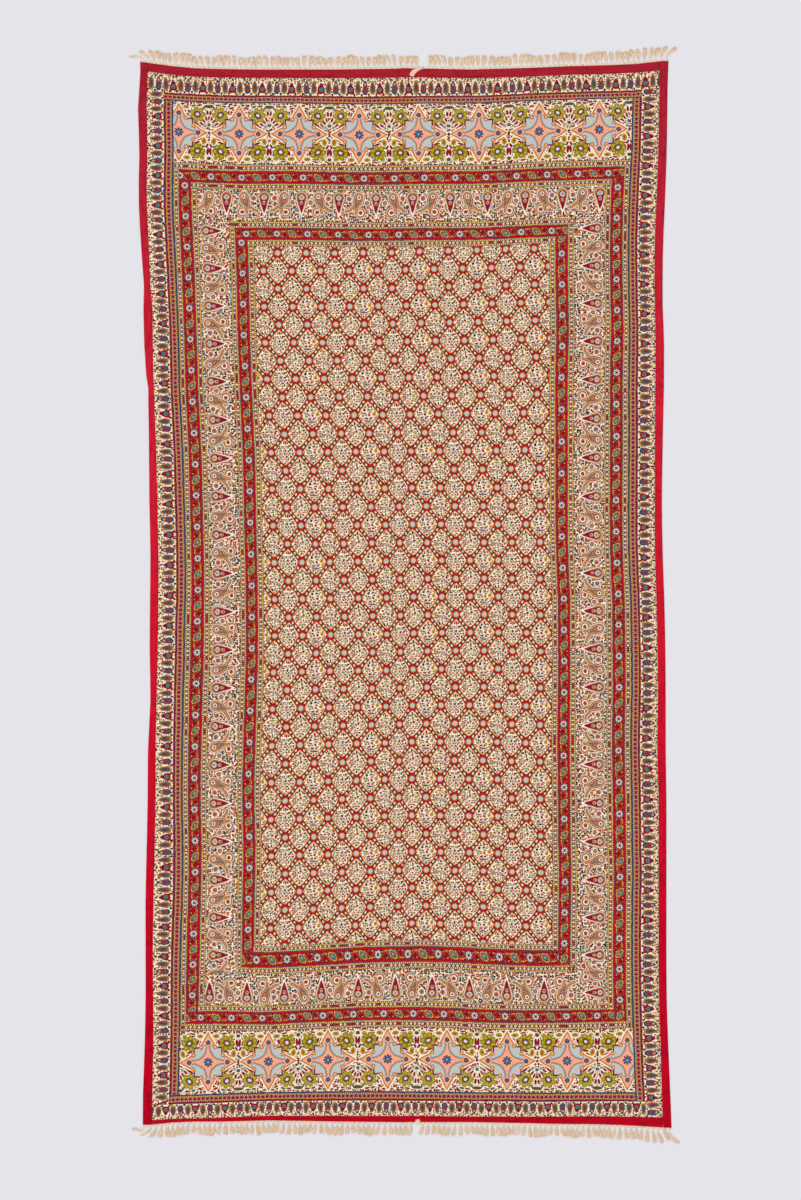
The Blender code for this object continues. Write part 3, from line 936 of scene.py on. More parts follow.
# %% The star band
# Strokes of the ground between the stars, in a star's own quarter folded over its upright line.
LEAVES = [
    (10.6, 20.2, 0.9, 2.7, -25, MADDER), (13.4, 22.6, 0.8, 2.2, -15, MADDER),
    (7.6, 25.8, 2.2, 0.9, 20, MADDER), (27.4, 14.4, 0.9, 2.3, -20, MADDER),
    (28.6, 20.4, 1.0, 2.3, -8, MADDER), (25.0, 12.0, 0.9, 2.4, -40, MADDER),
    (17.6, 9.2, 2.6, 0.9, 30, MADDER), (22.6, 9.4, 2.4, 0.9, 40, MADDER),
    (20.4, 6.6, 2.2, 0.8, 30, MADDER), (29.6, 26.8, 3.6, 1.5, 0, rgb(92, 84, 34)),
    (14.8, 27.2, 2.0, 1.0, -15, rgb(78, 106, 60)), (20.6, 27.8, 2.4, 0.8, -10, MADDER),
    (25.0, 24.8, 1.0, 1.4, 0, rgb(90, 100, 110)), (29.4, 8.4, 0.9, 1.5, 0, BOTTLE),
    (26.2, 6.8, 1.2, 0.9, 30, rgb(100, 130, 150)), (4.0, 28.6, 1.6, 0.8, 0, MADDER),
    (10.5, -19.4, 1.0, 2.6, 20, MADDER), (13.6, -22.0, 0.9, 1.8, 10, MADDER),
    (18.0, -9.9, 2.8, 0.9, -15, MADDER), (20.6, -6.6, 2.2, 0.8, -28, MADDER),
    (28.8, -18.4, 1.1, 3.4, 4, MADDER), (28.2, -12.8, 0.9, 2.2, 30, MADDER),
    (25.2, -8.2, 2.1, 3.2, -8, rgb(170, 160, 40)), (25.2, -8.2, 1.0, 1.8, -8, rgb(186, 70, 34)),
    (8.0, -25.4, 2.8, 1.8, 0, rgb(160, 150, 40)), (8.0, -25.4, 1.2, 0.8, 0, rgb(186, 70, 34)),
    (23.6, -25.2, 2.0, 1.8, 0, rgb(170, 154, 44)), (16.0, -27.8, 2.4, 0.8, 10, MADDER),
    (29.6, -25.6, 1.2, 1.6, 0, rgb(66, 84, 50)), (3.2, -28.8, 1.8, 0.8, 0, MADDER),
    (25.0, -13.6, 1.3, 0.9, 0, BOTTLE), (23.0, -19.6, 1.0, 1.8, 30, rgb(86, 100, 60)),
    (12.6, -15.6, 1.8, 0.8, 40, rgb(112, 122, 84)),
]


def paint_stars(place, u, v):
    x, y = abs(u.repeat(60.3)), abs(v)
    colour = speckle(
        place, 2.6, 0.45, CREAM,
        [(0.6, MADDER), (0.2, OLIVE), (0.1, rgb(84, 110, 116)), (0.1, rgb(190, 110, 80))]
    )
    colour = strokes(colour, x.place(v), [(a, b, c * 1.2, d * 1.1, e, f) for a, b, c, d, e, f in LEAVES])
    fx, fy = x - 18.7, y - 18.4
    low = v < 0
    colour = rings_of(colour, fx.reach(fy), (7.9 - low * 1.6, CREAM), (low * 5.9, rgb(190, 164, 24)))
    around = petals(fx, fy, 7, 5.3, 2.1, 2.4)
    colour = rings_of(colour, around, (1.1, rgb(112, 112, 22)), (0.72, rgb(190, 162, 26)))
    colour = colour.ink(rgb(92, 96, 30), oval(fx.place(fy), (0, 0), (4.1, 3.3), 35) < 1)
    heart = oval(fx.place(fy), (0, 0), (3.2, 2.4), 35)
    colour = rings_of(colour, heart, (1.0, rgb(134, 26, 62)), (0.6, rgb(206, 222, 232)))
    top = (x - (29.2 - y) * 0.56) * 0.87
    side = (y - (28.6 - x) * 0.56) * 0.87
    star = top.least(side)
    colour = rings_of(
        colour, star, (1.5, rgb(252, 234, 214)), (0.25, rgb(196, 124, 34)), (-1.1, rgb(243, 184, 158))
    )
    rib = abs(u.repeat(1.4))
    colour = colour.ink(rgb(232, 146, 130), (star < -1.5) * (rib < 0.24))
    square = (x - 13.6).most(y - 13.8)
    quarter = ((x - 13.6).reach(y - 13.8) - 11.2).most(square)
    curl = (x - 4.1).reach(y - 14.3).least((x - 14.3).reach(y - 4.1)) - 2.2
    fan = quarter.least(curl)
    colour = colour.ink(rgb(196, 124, 34), (fan < 1.25) * (square < 2.6))
    colour = colour.ink(rgb(112, 24, 50), (quarter < 0.9) * (square > -0.3) * (x.least(y) > 7.4))
    colour = rings_of(
        colour, fan, (0.15, rgb(112, 150, 176)), (-0.5, rgb(176, 198, 214)), (-1.3, rgb(194, 198, 196))
    )
    colour = colour.ink(rgb(112, 24, 50), (quarter < 0.4) * (square > -0.4) * (x.least(y) > 7.4))
    colour = colour.ink(rgb(178, 204, 228), curl < -0.5)
    barb = (x - 7.0).reach(y - 14.6).least((x - 14.6).reach(y - 7.0)).most(star + 1.0)
    colour = rings_of(colour, barb, (2.3, rgb(196, 124, 34)), (1.0, rgb(243, 184, 158)))
    small = x.reach(y - 19.2).least((x - 19.2).reach(y))
    colour = rings_of(colour, small, (2.3, rgb(72, 56, 84)), (1.3, rgb(70, 108, 128)))
    middle = x.reach(y)
    colour = colour.ink(rgb(118, 16, 40), petals(x, y, 8, 3.3, 1.0, 1.4) < 1)
    colour = rings_of(colour, middle, (3.1, rgb(20, 104, 156)), (1.0, rgb(206, 150, 80)))
    return colour.ink(BLACK, (x - 30.15).reach(y) < 1.3)


# %% [markdown]
# ## The outer border
#
# A row of small botehs stands round the rim, points outward: a red one, a yellow one, a blue one
# and a yellow one, with sprigs between their points.

# %% The outer border
def paint_botehs(place, u, v):
    column = ((u + 3.7) / 7.4).whole()
    kind = column.math("FLOORED_MODULO", column, 4.0)
    x = u.repeat(7.4)
    red, blue = kind < 0.5, (kind > 1.5) * (kind < 2.5)
    yellow = 1 - red - blue
    colour = speckle(place, 2.3, 0.36, CREAM, [(0.25, OLIVE), (0.35, MADDER), (0.4, rgb(214, 170, 126))])
    egg = oval((x * (v * 0.055 + 1.03)).place(v), (0, -0.3), (2.85, 6.3))
    colour = rings_of(
        colour,
        egg,
        (yellow * 1.0, rgb(176, 124, 30)),
        (yellow * 0.76, rgb(60, 96, 104)),
        (yellow * 0.4, rgb(140, 30, 50)),
    )
    colour = rings_of(
        colour,
        egg,
        (blue * 1.0, rgb(16, 78, 116)),
        (blue * 0.7, rgb(150, 58, 36)),
        (blue * 0.36, rgb(88, 62, 84)),
    )
    colour = colour.ink(rgb(226, 150, 52), (oval(x.place(v), (0, 2.6), (1.0, 1.2)) < 1) * blue)
    cone = oval((x * (v * 0.16 + 1.14)).place(v), (0, -0.9), (3.0, 5.0))
    colour = rings_of(colour, cone, (red * 1.04, rgb(158, 10, 40)), (red * 0.62, rgb(86, 20, 40)))
    colour = colour.ink(rgb(44, 128, 128), (x.reach(v + 2.0) < 2.0) * red)
    point = x.place(v)
    colour = colour.ink(rgb(36, 70, 20), (oval(point, (0, 6.5), (0.9, 1.1)) < 1) * red)
    beside = abs(x).place(v)
    colour = colour.ink(rgb(84, 84, 20), (oval(beside, (2.9, 6.6), (1.5, 1.0), -30) < 1) * blue)
    colour = colour.ink(rgb(84, 24, 28), (oval(beside, (3.1, 7.6), (0.9, 0.9)) < 1) * red)
    between = (u + 3.7).repeat(7.4)
    colour = colour.ink(rgb(170, 110, 60), oval(between.place(v), (0, 4.2), (0.6, 1.3)) < 1)
    colour = colour.ink(rgb(58, 40, 34), oval(between.place(v), (0, -6.6), (1.0, 1.2)) < 1)
    return colour.ink(rgb(150, 12, 46), v < -8.0)


def paint_back(place, u, v):
    halfway = {0: 0.5, 6: rgb(226, 200, 178), 7: rgb(206, 160, 140)}
    return place.node("ShaderNodeMix", halfway, 2, data_type="RGBA")


PAINTERS = {
    "botehs": (paint_botehs, 17.0),
    "beads": (paint_beads, 9.0),
    "stars": (paint_stars, 61.5),
    "guard": (paint_guard, 6.0),
    "vine": (paint_vine, 11.8),
    "paisleys": (paint_paisleys, 30.6),
    "field": (paint_field, 1.0),
    "back": (paint_back, 1.0),
}
FINISHES = {name: cotton("print_" + name, painter) for name, (painter, wide) in PAINTERS.items()}
print("nodes in each print:", {name: len(f.node_tree.nodes) for name, f in FINISHES.items()})

# %% [markdown]
# ## The printed cloth
#
# Every face of the grid belongs to one ring and one side of it. Its place in the print is counted
# from a motif on that side: along the border, then outward from the border's middle. Each side is
# the top one turned, so the points of the botehs always look outward.

# %% The printed cloth
corner_lists = [
    (slice(0, -1), slice(0, -1)), (slice(1, None), slice(0, -1)),
    (slice(1, None), slice(1, None)), (slice(0, -1), slice(1, None)),
]
now_right, now_down = right_of(cloth_x), down_of(cloth_y)
even_right = now_right - wander(TO_RIGHT, now_right, now_down)
even_down = now_down - wander(BELOW, now_right, now_down)
corners = {
    name: np.stack([values[part] for part in corner_lists], -1)
    for name, values in {"p": GRID_RIGHT, "q": GRID_DOWN, "u": even_right, "w": even_down}.items()
}
middle_p, middle_q = corners["p"].mean(-1), corners["q"].mean(-1)
FINISH_NAMES = [name for name in PAINTERS if name != "back"] + ["back"]
finish_of = np.full(middle_p.shape, FINISH_NAMES.index("field"))
layout = np.stack([corners["u"] - 397.4, corners["w"] - 597.35], -1)
left_free = np.ones(middle_p.shape, bool)
inner = EDGE
for name, left, right, top, low in RINGS:
    kind = name.split("_")[0]
    wide = PAINTERS[kind][1]
    sides = {
        "top": (middle_q < top, "u", 1, "q", -1, (inner[2], top)),
        "bottom": (middle_q > low, "u", -1, "q", 1, (low, inner[3])),
        "right": (middle_p > right, "w", 1, "p", 1, (right, inner[1])),
        "left": (middle_p < left, "w", -1, "p", -1, (left, inner[0])),
    }
    for side, at in zip(("top", "right", "bottom", "left"), MOTIF_AT[name]):
        here, run, turned, outward, sign, span = sides[side]
        here = here & left_free
        if name == "stars" and side in ("left", "right"):
            continue
        if side in ("top", "bottom"):
            level = top if side == "top" else low
            at = at - wander(TO_RIGHT, np.array(at), np.array(level))
        else:
            at = at - wander(BELOW, np.array(300.0 if side == "left" else 500.0), np.array(at))
        middle, half = sum(span) / 2, abs(span[1] - span[0]) / 2
        u = (corners[run] - at) * turned
        v = (corners[outward] - middle) * sign / half * (wide / 2)
        layout[here] = np.stack([u, v], -1)[here]
        finish_of[here] = FINISH_NAMES.index(kind)
        left_free &= ~here
    inner = (left, right, top, low)

cloth = add_sheet(
    "cloth_printed", cloth_x, cloth_y, cloth_top, cloth_low,
    [FINISHES[name] for name in FINISH_NAMES], finish_of, layout,
)
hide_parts("printed_cloth")
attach(cloth, "root")
print("printed cloth:", len(cloth.data.polygons), "faces")

# %% [markdown]
# ## The red edging
#
# Four strips of plain red cotton are folded over the raw edges and machine sewn. Each strip is
# spread between its own four edges on the CAD part. It is thinner along the outer fold and
# puckers a little, as it does where the two layers were eased together under the needle.

# %% Strips spread between their four edges
def spread(node, along_count, across_count, lengthwise):
    """A grid of places inside a node's outline, with its long side down the rows."""
    edges = outline(node, 600)
    s = np.linspace(0, 1, along_count if lengthwise else across_count)[:, None]
    t = np.linspace(0, 1, across_count if lengthwise else along_count)[None, :]
    unit = np.linspace(0, 1, 600)
    side = {
        "left": [np.interp(s, unit, part) for part in edges["left"][::-1]],
        "right": [np.interp(s, unit, part) for part in edges["right"][::-1]],
        "bottom": [np.interp(t, unit, part) for part in edges["bottom"]],
        "top": [np.interp(t, unit, part) for part in edges["top"]],
    }
    made = []
    for axis in (0, 1):
        left, right, bottom, top = (side[k][axis] for k in ("left", "right", "bottom", "top"))
        corners = (
            (1 - s) * (1 - t) * left[0] + (1 - s) * t * right[0]
            + s * (1 - t) * left[-1] + s * t * right[-1]
        )
        made.append((1 - t) * left + t * right + (1 - s) * bottom + s * top - corners)
    return made[0][::-1], made[1][::-1]


def puckers(run):
    """Small uneven rises and dips along a strip, between -1 and 1."""
    fine = np.sin(run * 173 + 2 * np.sin(run * 31)) * np.sin(run * 47 + 1.7 * np.sin(run * 11))
    return 0.65 * fine + 0.35 * np.sin(run * 23 + 1.4 * np.sin(run * 7))


def paint_edging(tree, lengthwise):
    there = on_object(tree)
    right, up, _ = there.split()
    run, wide = (up, right) if lengthwise else (right, up)
    chart = there.node("ShaderNodeValToRGB", {0: 0.5 - up / 3.2})
    ramp = chart.socket.node.color_ramp
    ramp.elements[0].color = rgb(164, 30, 46)
    ramp.elements[1].color = rgb(182, 0, 30)
    reds = {0.1: (182, 30, 50), 0.3: (206, 28, 50), 0.55: (208, 18, 42), 0.8: (200, 0, 34)}
    for at, red in reds.items():
        ramp.elements.new(at).color = rgb(*red)
    streak = (run * 14).place(wide * 150).noise(1.0, 3.0, 0, "2D")
    fold = (run * 9).place(wide * 8).noise(1.0, 3.0, 0, "2D")
    line = abs(fold - 0.5)
    crease = 1 - (line / 0.02).kept(0, 1)
    # The streaks are the cotton's own uneven tone. Painted shade: the red is darkened along each crease
    # line, where the bump also dips.
    tone_and_crease_shade = streak * 0.7 + 0.62 - crease * 0.24
    colour = chart.tinted(tone_and_crease_shade.place(tone_and_crease_shade, tone_and_crease_shade))
    weave = (right * 900).wave() * (up * 900).wave()
    height = streak * 0.4 + weave * 0.12 - crease * 0.8
    return colour, height.bump(0.5, 0.0015)


def plain(name, paint, roughness, *settings):
    """A material of one cloth or thread, painted by a function of the place on the object."""
    finish, tree, shader = new_finish(name, roughness, shine=0.06)
    colour, bump = paint(tree, *settings)
    tree.links.new(colour.socket, shader.inputs["Base Color"])
    tree.links.new(bump.socket, shader.inputs["Normal"])
    return finish


def add_plain(name, x, y, top, low, finish):
    """A sheet of one plain cloth, laid out in steps from the part's own origin."""
    marks = np.zeros((x.shape[0] - 1, x.shape[1] - 1), int)
    place = np.stack([x, y], -1) / STEP
    layout = np.stack([place[:-1, :-1], place[1:, :-1], place[1:, 1:], place[:-1, 1:]], 2)
    return add_sheet(name, x, y, top, low, [finish], marks, layout)


# %% The four strips
# How thick a strip is and how high its puckers rise, in metres.
EDGING_THICK, PUCKER_HEIGHT = 0.0020, 0.00032
EDGING_LONG = plain("edging_long", paint_edging, 0.8, True)
EDGING_CROSS = plain("edging_cross", paint_edging, 0.8, False)
seams = []
for node in ("edging_left", "edging_right", "edging_top", "edging_bottom"):
    lengthwise = node in ("edging_left", "edging_right")
    strip_x, strip_y = spread(node, 420 if lengthwise else 220, 9, lengthwise)
    rows, columns = strip_x.shape
    share = np.linspace(0, 1, columns)[None, :] if lengthwise else np.linspace(0, 1, rows)[:, None]
    outward = 1 - share if node in ("edging_left", "edging_top") else share
    run = strip_y if lengthwise else strip_x
    fold = np.clip((1 - outward) / 0.12, 0, 1) * np.clip(outward / 0.05, 0.4, 1)
    flat = EDGING_THICK * (0.62 + 0.38 * np.sqrt(fold))
    ends = np.linspace(0, 1, rows)[:, None] if lengthwise else np.linspace(0, 1, columns)[None, :]
    calm = np.clip(np.minimum(ends, 1 - ends) * 40, 0, 1)
    strip_top = flat + PUCKER_HEIGHT * puckers(run) * np.sin(outward * math.pi) * calm
    finish = EDGING_LONG if lengthwise else EDGING_CROSS
    strip_low = np.zeros_like(strip_top)
    strip = add_plain(node + "_cotton", strip_x, strip_y, strip_top, strip_low, finish)
    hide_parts(node)
    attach(strip, "root")
    inside = {"edging_left": (slice(None), -2), "edging_right": (slice(None), 1),
              "edging_top": (-2, slice(None)), "edging_bottom": (1, slice(None))}[node]
    seams.append(np.stack([strip_x[inside], strip_y[inside], strip_top[inside] + 0.0001], -1))
    print(
        node, "drawn with", len(strip.data.polygons), "faces, up to", round(strip_top.max() * 1000, 2), "mm"
    )

# %% [markdown]
# ## Growing what repeats
#
# Stitches and threads are the same small thing, over and over. A node group makes them: it takes
# the lines that they follow and a few numbers, and gives back one mesh. The same small class that
# writes the prints also writes these groups.

# %% Running a node group on some lines
def grow(name, lines_of_points, build, finish, numbers):
    """One mesh grown along lines of points by a node group, whose inputs are set by name."""
    points, edges = [], []
    for line in lines_of_points:
        first = len(points)
        points += [tuple(p) for p in line]
        edges += [(first + i, first + i + 1) for i in range(len(line) - 1)]
    mesh = bpy.data.meshes.new(name)
    mesh.from_pydata(points, edges, [])
    holder = bpy.data.objects.new(name + "_lines", mesh)
    bpy.context.scene.collection.objects.link(holder)
    group = bpy.data.node_groups.new(name, "GeometryNodeTree")
    group.interface.new_socket("Lines", in_out="INPUT", socket_type="NodeSocketGeometry")
    group.interface.new_socket("Grown", in_out="OUTPUT", socket_type="NodeSocketGeometry")
    sockets = {}
    for label, value in numbers.items():
        kind = "NodeSocketInt" if isinstance(value, int) else "NodeSocketFloat"
        sockets[label] = group.interface.new_socket(label, in_out="INPUT", socket_type=kind)
    sockets["Finish"] = group.interface.new_socket(
        "Finish", in_out="INPUT", socket_type="NodeSocketMaterial"
    )
    start = group.nodes.new("NodeGroupInput")
    asked = {label: Dye(group, start.outputs[label]) for label in sockets}
    grown = build(Dye(group, start.outputs["Lines"]), asked)
    real = grown.node("GeometryNodeRealizeInstances", {0: grown})
    dressed = real.node("GeometryNodeSetMaterial", {"Geometry": real, "Material": asked["Finish"]})
    group.links.new(dressed.socket, group.nodes.new("NodeGroupOutput").inputs[0])
    modifier = holder.modifiers.new("grow", "NODES")
    modifier.node_group = group
    for label, value in {**numbers, "Finish": finish}.items():
        modifier[sockets[label].identifier] = value
    shown = holder.evaluated_get(bpy.context.evaluated_depsgraph_get())
    made = bpy.data.meshes.new_from_object(shown)
    bpy.data.objects.remove(holder)
    made.name = name
    piece = bpy.data.objects.new(name, made)
    bpy.context.scene.collection.objects.link(piece)
    return piece


# %% [markdown]
# ## The sewing
#
# A row of machine stitches holds each strip down, a few millimetres from its inner edge. The
# thread rises out of the cotton, runs a stitch's length and dips back in, so each one is a short
# arch. They vary a little in size.

# %% Machine stitches
def build_stitches(lines_in, asked):
    arch = lines_in.node(
        "GeometryNodeCurveQuadraticBezier",
        {
            "Resolution": 4, "Start": (-0.0016, 0, -0.0003), "Middle": (0, 0, 0.0006),
            "End": (0.0016, 0, -0.0003)
        },
    )
    ring = lines_in.node("GeometryNodeCurvePrimitiveCircle", {"Resolution": 4, "Radius": asked["Thread"]})
    stitch = arch.node("GeometryNodeCurveToMesh", {"Curve": arch, "Profile Curve": ring, "Fill Caps": True})
    curve = lines_in.node("GeometryNodeMeshToCurve", {0: lines_in})
    spots = curve.node(
        "GeometryNodeCurveToPoints", {"Curve": curve, "Length": asked["Pitch"]}, 0, mode="LENGTH"
    )
    tangent = Dye(spots.tree, spots.socket.node.outputs["Tangent"])
    along = tangent.node("FunctionNodeAlignRotationToVector", {"Vector": tangent}, axis="X", pivot_axis="Z")
    sizes = spots.node(
        "FunctionNodeRandomValue", {0: (0.85, 0.9, 0.9), 1: (1.1, 1.1, 1.1), "Seed": asked["Seed"]}, 0,
        data_type="FLOAT_VECTOR",
    )
    return spots.node(
        "GeometryNodeInstanceOnPoints", {0: spots, 2: stitch, "Rotation": along, "Scale": sizes}
    )


def paint_thread(tree):
    there = on_object(tree)
    colour = there.noise(40.0, 1.0).mix(rgb(150, 12, 36), rgb(196, 40, 60))
    return colour, there.noise(2500.0, 1.0).bump(0.4, 0.0003)


sewing = grow(
    "edging_stitches",
    seams,
    build_stitches,
    plain("sewing_thread", paint_thread, 0.6),
    {"Pitch": 0.0042, "Thread": 0.00035, "Seed": 7},
)
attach(sewing, "root")
print("stitches:", len(sewing.data.polygons), "faces")

# %% [markdown]
# ## The fringe
#
# The fringe is a bought length of cotton, sewn under the edging: a narrow woven heading with loose
# locks of thread. The CAD part fixes how each lock leans and how long it is, and these rows repeat
# its measure in millimetres. Each lock here is a bunch of fine threads, pale and apart at the
# heading, apricot and tangled at the ends.

# %% The measure of the fringe
# Each row: its end of the panel (1 is the top), where it starts and stops, how many locks it has,
# how far the corner lock splays in degrees, how long it is, the row's own phase of unevenness and
# how much of its length is turned over.
FRINGES = {
    "fringe_top_left": (1, -768, 54, 52, 66, 38, 0.4, 14),
    "fringe_top_right": (1, 62, 762, 45, 36, 45, 2.1, 0),
    "fringe_bottom_left": (-1, -760, 40, 51, 72, 39, 3.3, 16),
    "fringe_bottom_right": (-1, 43, 770, 47, 32, 49, 5.2, 0),
}
THREADS = 22
LOCK_LONG = 33
LOCK_LEAN = math.radians(10)
THREAD_HEIGHT = 0.0013


def outer_rim(end):
    """A function that gives where the edging's outer rim lies, at one end of the panel."""
    names = ("edging_top" if end > 0 else "edging_bottom", "edging_left", "edging_right")
    cuts = {name: cutter(name, 0) for name in names}
    low, high = [p[0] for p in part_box(names[0])]

    def rim(x):
        name = names[0] if low <= x <= high else names[1] if x < 0 else names[2]
        return cuts[name](x)[1 if end > 0 else 0]

    return rim


def sway(waves, phase, index):
    return sum(share * math.sin(rate * index + phases * phase) for rate, share, phases in waves)


def lock_lines(node):
    """The middle line of every lock of one fringe, from its root to its end, in metres."""
    end, start, stop, strands, splay, corner_long, phase, fold_wide = FRINGES[node]
    rim_at = outer_rim(end)
    outward = -1 if start < 0 else 1
    pitch = (stop - fold_wide - start) / strands
    made = []
    for index in range(strands):
        corner = math.exp(-(index if outward < 0 else strands - 1 - index) / 4)
        lean = LOCK_LEAN * sway([(1.05, 1.0, 1), (0.37, 0.6, 2)], phase, index) * (1 - corner)
        lean += math.radians(outward * splay * corner ** 2.4)
        uneven = 2.7 * sway([(0.83, 1.0, 3), (2.31, 0.7, 1)], phase, index) * (1 - corner)
        long = LOCK_LONG + (corner_long - LOCK_LONG) * corner + uneven
        root_x = start + (index + 0.5) * pitch
        root_y = rim_at(root_x / 1000) * 1000 + end * 0.6
        line = []
        for share in np.linspace(0, 1, 9):
            reach = (long + 4.0) * share
            turn = lean * min(1.0, 1.2 * share)
            x = root_x + reach * math.sin(turn)
            y = root_y + end * reach * math.cos(turn)
            line.append((x / 1000, y / 1000, THREAD_HEIGHT))
        made.append(line)
    return made, pitch / 1000


# %% Threads grown along the locks
def build_threads(lines_in, asked):
    curve = lines_in.node("GeometryNodeMeshToCurve", {0: lines_in})
    part = curve.node("GeometryNodeSplineParameter", {}, 0)
    named = curve.node(
        "GeometryNodeStoreNamedAttribute", {"Geometry": curve, "Name": "along", "Value": part}, 0,
        data_type="FLOAT", domain="POINT",
    )
    many = named.node(
        "GeometryNodeDuplicateElements", {0: named, "Amount": asked["Threads"]}, 0, domain="SPLINE"
    )
    own = many
    random = {}
    for number, label in enumerate(("side", "far", "high", "odd")):
        chance = own.node(
            "FunctionNodeRandomValue", {2: -1.0, 3: 1.0, "Seed": number + 11}, 1, data_type="FLOAT"
        )
        kept = own.node("GeometryNodeCaptureAttribute", {"Geometry": own}, 0, domain="CURVE")
        store = kept.socket.node
        store.capture_items.new("FLOAT", label)
        own.tree.links.new(chance.socket, store.inputs[1])
        random[label] = Dye(own.tree, store.outputs[1])
        own = kept
    along = own.node("GeometryNodeInputNamedAttribute", {"Name": "along"}, 0, data_type="FLOAT")
    here = own.node("GeometryNodeInputPosition", {}, 0)
    loose = (along * 2.0 - 0.3).kept(0, 1)
    gather = loose * 0.72 + 0.28
    shift = random["odd"].place(random["side"], random["high"])
    spot = shift.vector("MULTIPLY_ADD", (9, 9, 9), here.vector("MULTIPLY", (60, 60, 60)))
    swing = spot.noise(1.0, 2.0, 1).vector("SUBTRACT", (0.5, 0.5, 0.5))
    sizes = loose * asked["Tangle"]
    swing = swing.vector("MULTIPLY", sizes.place(sizes, sizes * 0.12))
    sideways = random["side"] * asked["Width"] * gather
    further = random["far"] * along * asked["Uneven"]
    upward = (random["high"] * 0.5 + 0.5) * loose * 0.0009 + random["high"] * 0.0003
    base = sideways.place(further, upward)
    moved = own.node("GeometryNodeSetPosition", {"Geometry": own, "Offset": swing.vector("ADD", base)})
    thin = (1.06 - along).kept(0, 0.25) * 4
    radius = (loose * 0.00042 + 0.0003) * thin
    ring = own.node("GeometryNodeCurvePrimitiveCircle", {"Resolution": 3, "Radius": 1.0})
    values = {"Curve": moved, "Profile Curve": ring, "Scale": radius, "Fill Caps": True}
    return moved.node("GeometryNodeCurveToMesh", values)


def paint_fringe(tree):
    there = on_object(tree)
    kept = tree.nodes.new("ShaderNodeAttribute")
    kept.attribute_name = "along"
    along = Dye(tree, kept.outputs["Fac"])
    lock = there.noise(130.0, 2.0).mix(rgb(255, 242, 220), rgb(255, 214, 172))
    colour = (along * 3.0 - 0.2).kept(0, 1).mix(rgb(255, 252, 246), lock)
    return colour, there.noise(1500.0, 2.0).bump(0.5, 0.0004)


FRINGE = plain("fringe_thread", paint_fringe, 0.95)
for node in FRINGES:
    locks, pitch = lock_lines(node)
    piece = grow(
        node + "_threads",
        locks,
        build_threads,
        FRINGE,
        {"Threads": THREADS, "Width": pitch * 0.4, "Tangle": 0.0105, "Uneven": 0.0034},
    )
    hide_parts(node)
    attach(piece, "root")
    print(node, "drawn with", len(piece.data.polygons), "faces")

# %% [markdown]
# The heading is a narrow tape. It lies just outside the edging, under the threads. The two left
# hand lengths are cut off longer than they need to be: their ends are turned up and over, and
# lie on the front of the edging near the middle of the panel.

# %% The heading tapes and their turned ends
def paint_tape(tree):
    tone = (on_object(tree).noise(260.0, 3.0) * 2.4 - 0.7).kept(0, 1)
    return tone.mix(rgb(250, 226, 196), rgb(222, 176, 134)), tone.bump(0.6, 0.0006)


TAPE = plain("fringe_tape", paint_tape, 0.95)
# How far outside the edging each row of the tape lies, how high it is and how thick, in metres.
TAPE_ROWS = np.array([0.0006, 0.0025, 0.0045, 0.006])
TAPE_HEIGHT, TAPE_THICK = 0.0008, 0.0007
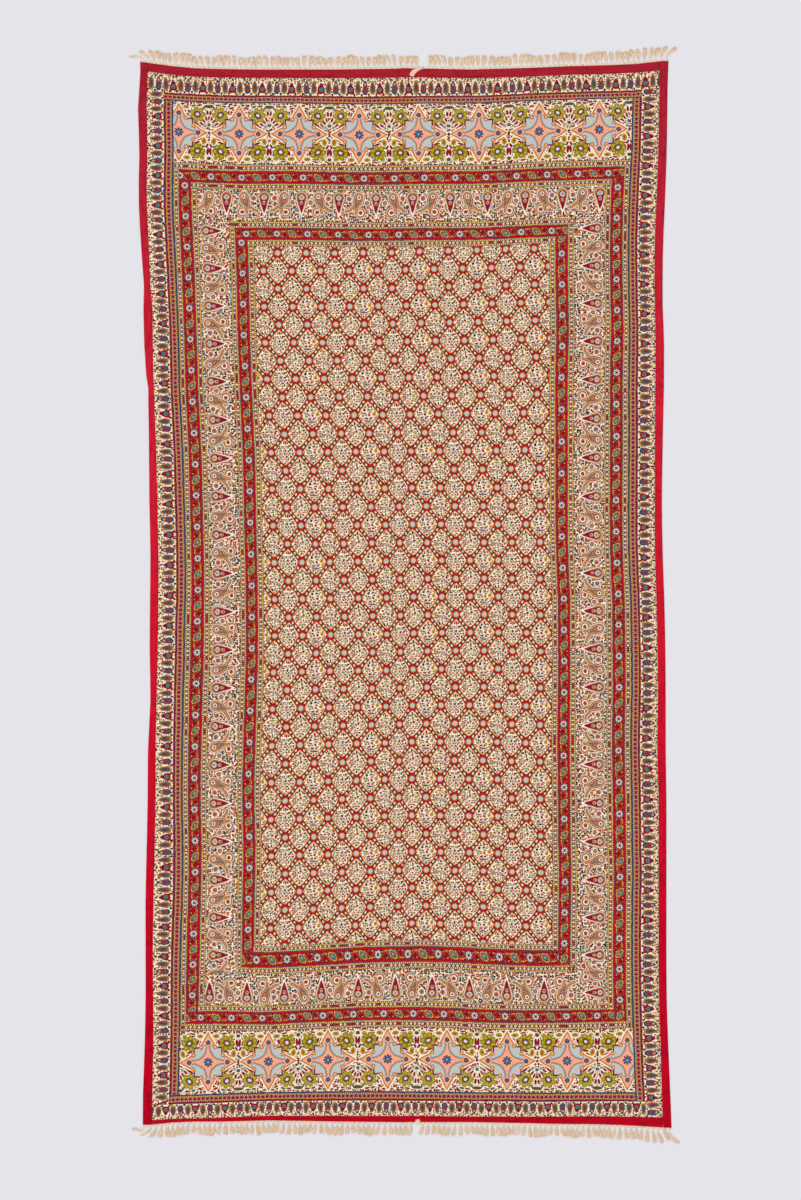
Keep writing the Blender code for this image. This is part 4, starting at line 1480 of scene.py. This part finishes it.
# Each row of a turned end: its middle in steps right and down, half its width and its height in mm.
TURNED = {
    "fringe_top_left": [
        (424.2, 67.4, 0.8, 1.0), (422.0, 68.0, 1.1, 2.6), (419.6, 68.6, 1.4, 2.9), (417.2, 69.6, 1.7, 3.1),
        (415.0, 71.0, 2.1, 3.2), (413.2, 72.6, 2.4, 3.3), (412.2, 74.4, 2.4, 3.2), (411.6, 76.2, 2.3, 3.1),
    ],
    "fringe_bottom_left": [
        (418.6, 1124.4, 2.0, 1.0), (418.2, 1122.6, 2.1, 2.6), (417.8, 1121.2, 2.2, 3.0),
        (417.4, 1119.4, 2.2, 3.0),
    ],
}
for node, (end, start, stop, _, _, _, _, fold_wide) in FRINGES.items():
    rim_at = outer_rim(end)
    tape_x = np.linspace(start, stop - fold_wide, 160) / 1000
    grid_y = np.array([rim_at(x) for x in tape_x])[None, :] + end * TAPE_ROWS[:, None]
    grid_x = np.repeat(tape_x[None, :], len(TAPE_ROWS), 0)
    tapes = [("_tape", grid_x, grid_y, TAPE_HEIGHT + 0.0001 * np.sin(grid_x * 700))]
    if node in TURNED:
        middle_right, middle_down, half, high = np.array(TURNED[node]).T
        run_x, run_y = np.gradient(across(middle_right)), np.gradient(along(middle_down))
        size = np.hypot(run_x, run_y)
        side = np.linspace(-1, 1, 7)[None, :] * half[:, None] * STEP
        end_x = across(middle_right)[:, None] - run_y[:, None] / size[:, None] * side
        end_y = along(middle_down)[:, None] + run_x[:, None] / size[:, None] * side
        tapes.append(("_end", end_x, end_y, np.repeat(high[:, None], 7, 1) / 1000))
    for label, x, y, z in tapes:
        if (x[0, 1] - x[0, 0]) * (y[1, 0] - y[0, 0]) - (y[0, 1] - y[0, 0]) * (x[1, 0] - x[0, 0]) > 0:
            x, y, z = x[::-1], y[::-1], z[::-1]
        tape = add_plain(node + label, x, y, z, z - TAPE_THICK, TAPE)
        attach(tape, "root")

# %% [markdown]
# ## The size of the cut
#
# The panel was cut and hemmed flat, and lies flat, so its cut size is what it measures now. The
# edging, sewing and fringe are sewn on it.

# %% [markdown]
# ## Floor, light and camera
#
# The panel lies on a pale studio floor and is seen from straight above. Broad soft light from all
# sides shows the print evenly. A little more comes from one side, so the creases still show.

# %% Floor, light and camera
floor_mesh = bpy.data.meshes.new("floor")
reach = 30.0
floor_mesh.from_pydata(
    [(-reach, -reach, 0), (reach, -reach, 0), (reach, reach, 0), (-reach, reach, 0)], [], [(0, 1, 2, 3)]
)
floor = bpy.data.objects.new("floor", floor_mesh)
bpy.context.scene.collection.objects.link(floor)
pale = bpy.data.materials.new("floor")
pale.use_nodes = True
pale.node_tree.nodes["Principled BSDF"].inputs["Base Color"].default_value = rgb(229, 228, 234)
pale.node_tree.nodes["Principled BSDF"].inputs["Roughness"].default_value = 0.9
floor_mesh.materials.append(pale)
floor.location.z = -0.0001

world = bpy.data.worlds.new("studio")
bpy.context.scene.world = world
world.use_nodes = True
world.node_tree.nodes["Background"].inputs[0].default_value = (1, 1, 1, 1)
world.node_tree.nodes["Background"].inputs[1].default_value = 0.75

lamp = bpy.data.lights.new("side_light", "SUN")
lamp.energy = 1.0
lamp.angle = math.radians(25)
side_light = bpy.data.objects.new("side_light", lamp)
side_light.rotation_euler = (math.radians(8), math.radians(-38), 0)
bpy.context.scene.collection.objects.link(side_light)

lens = bpy.data.cameras.new("camera")
lens.sensor_width = 36
lens.lens = 120
distance = 1200 * STEP * lens.lens / lens.sensor_width
camera = bpy.data.objects.new("camera", lens)
camera.location = (across(400.5), along(600), distance)
lens.clip_end = 100
bpy.context.scene.collection.objects.link(camera)
bpy.context.scene.camera = camera
bpy.context.scene.view_settings.view_transform = "Standard"
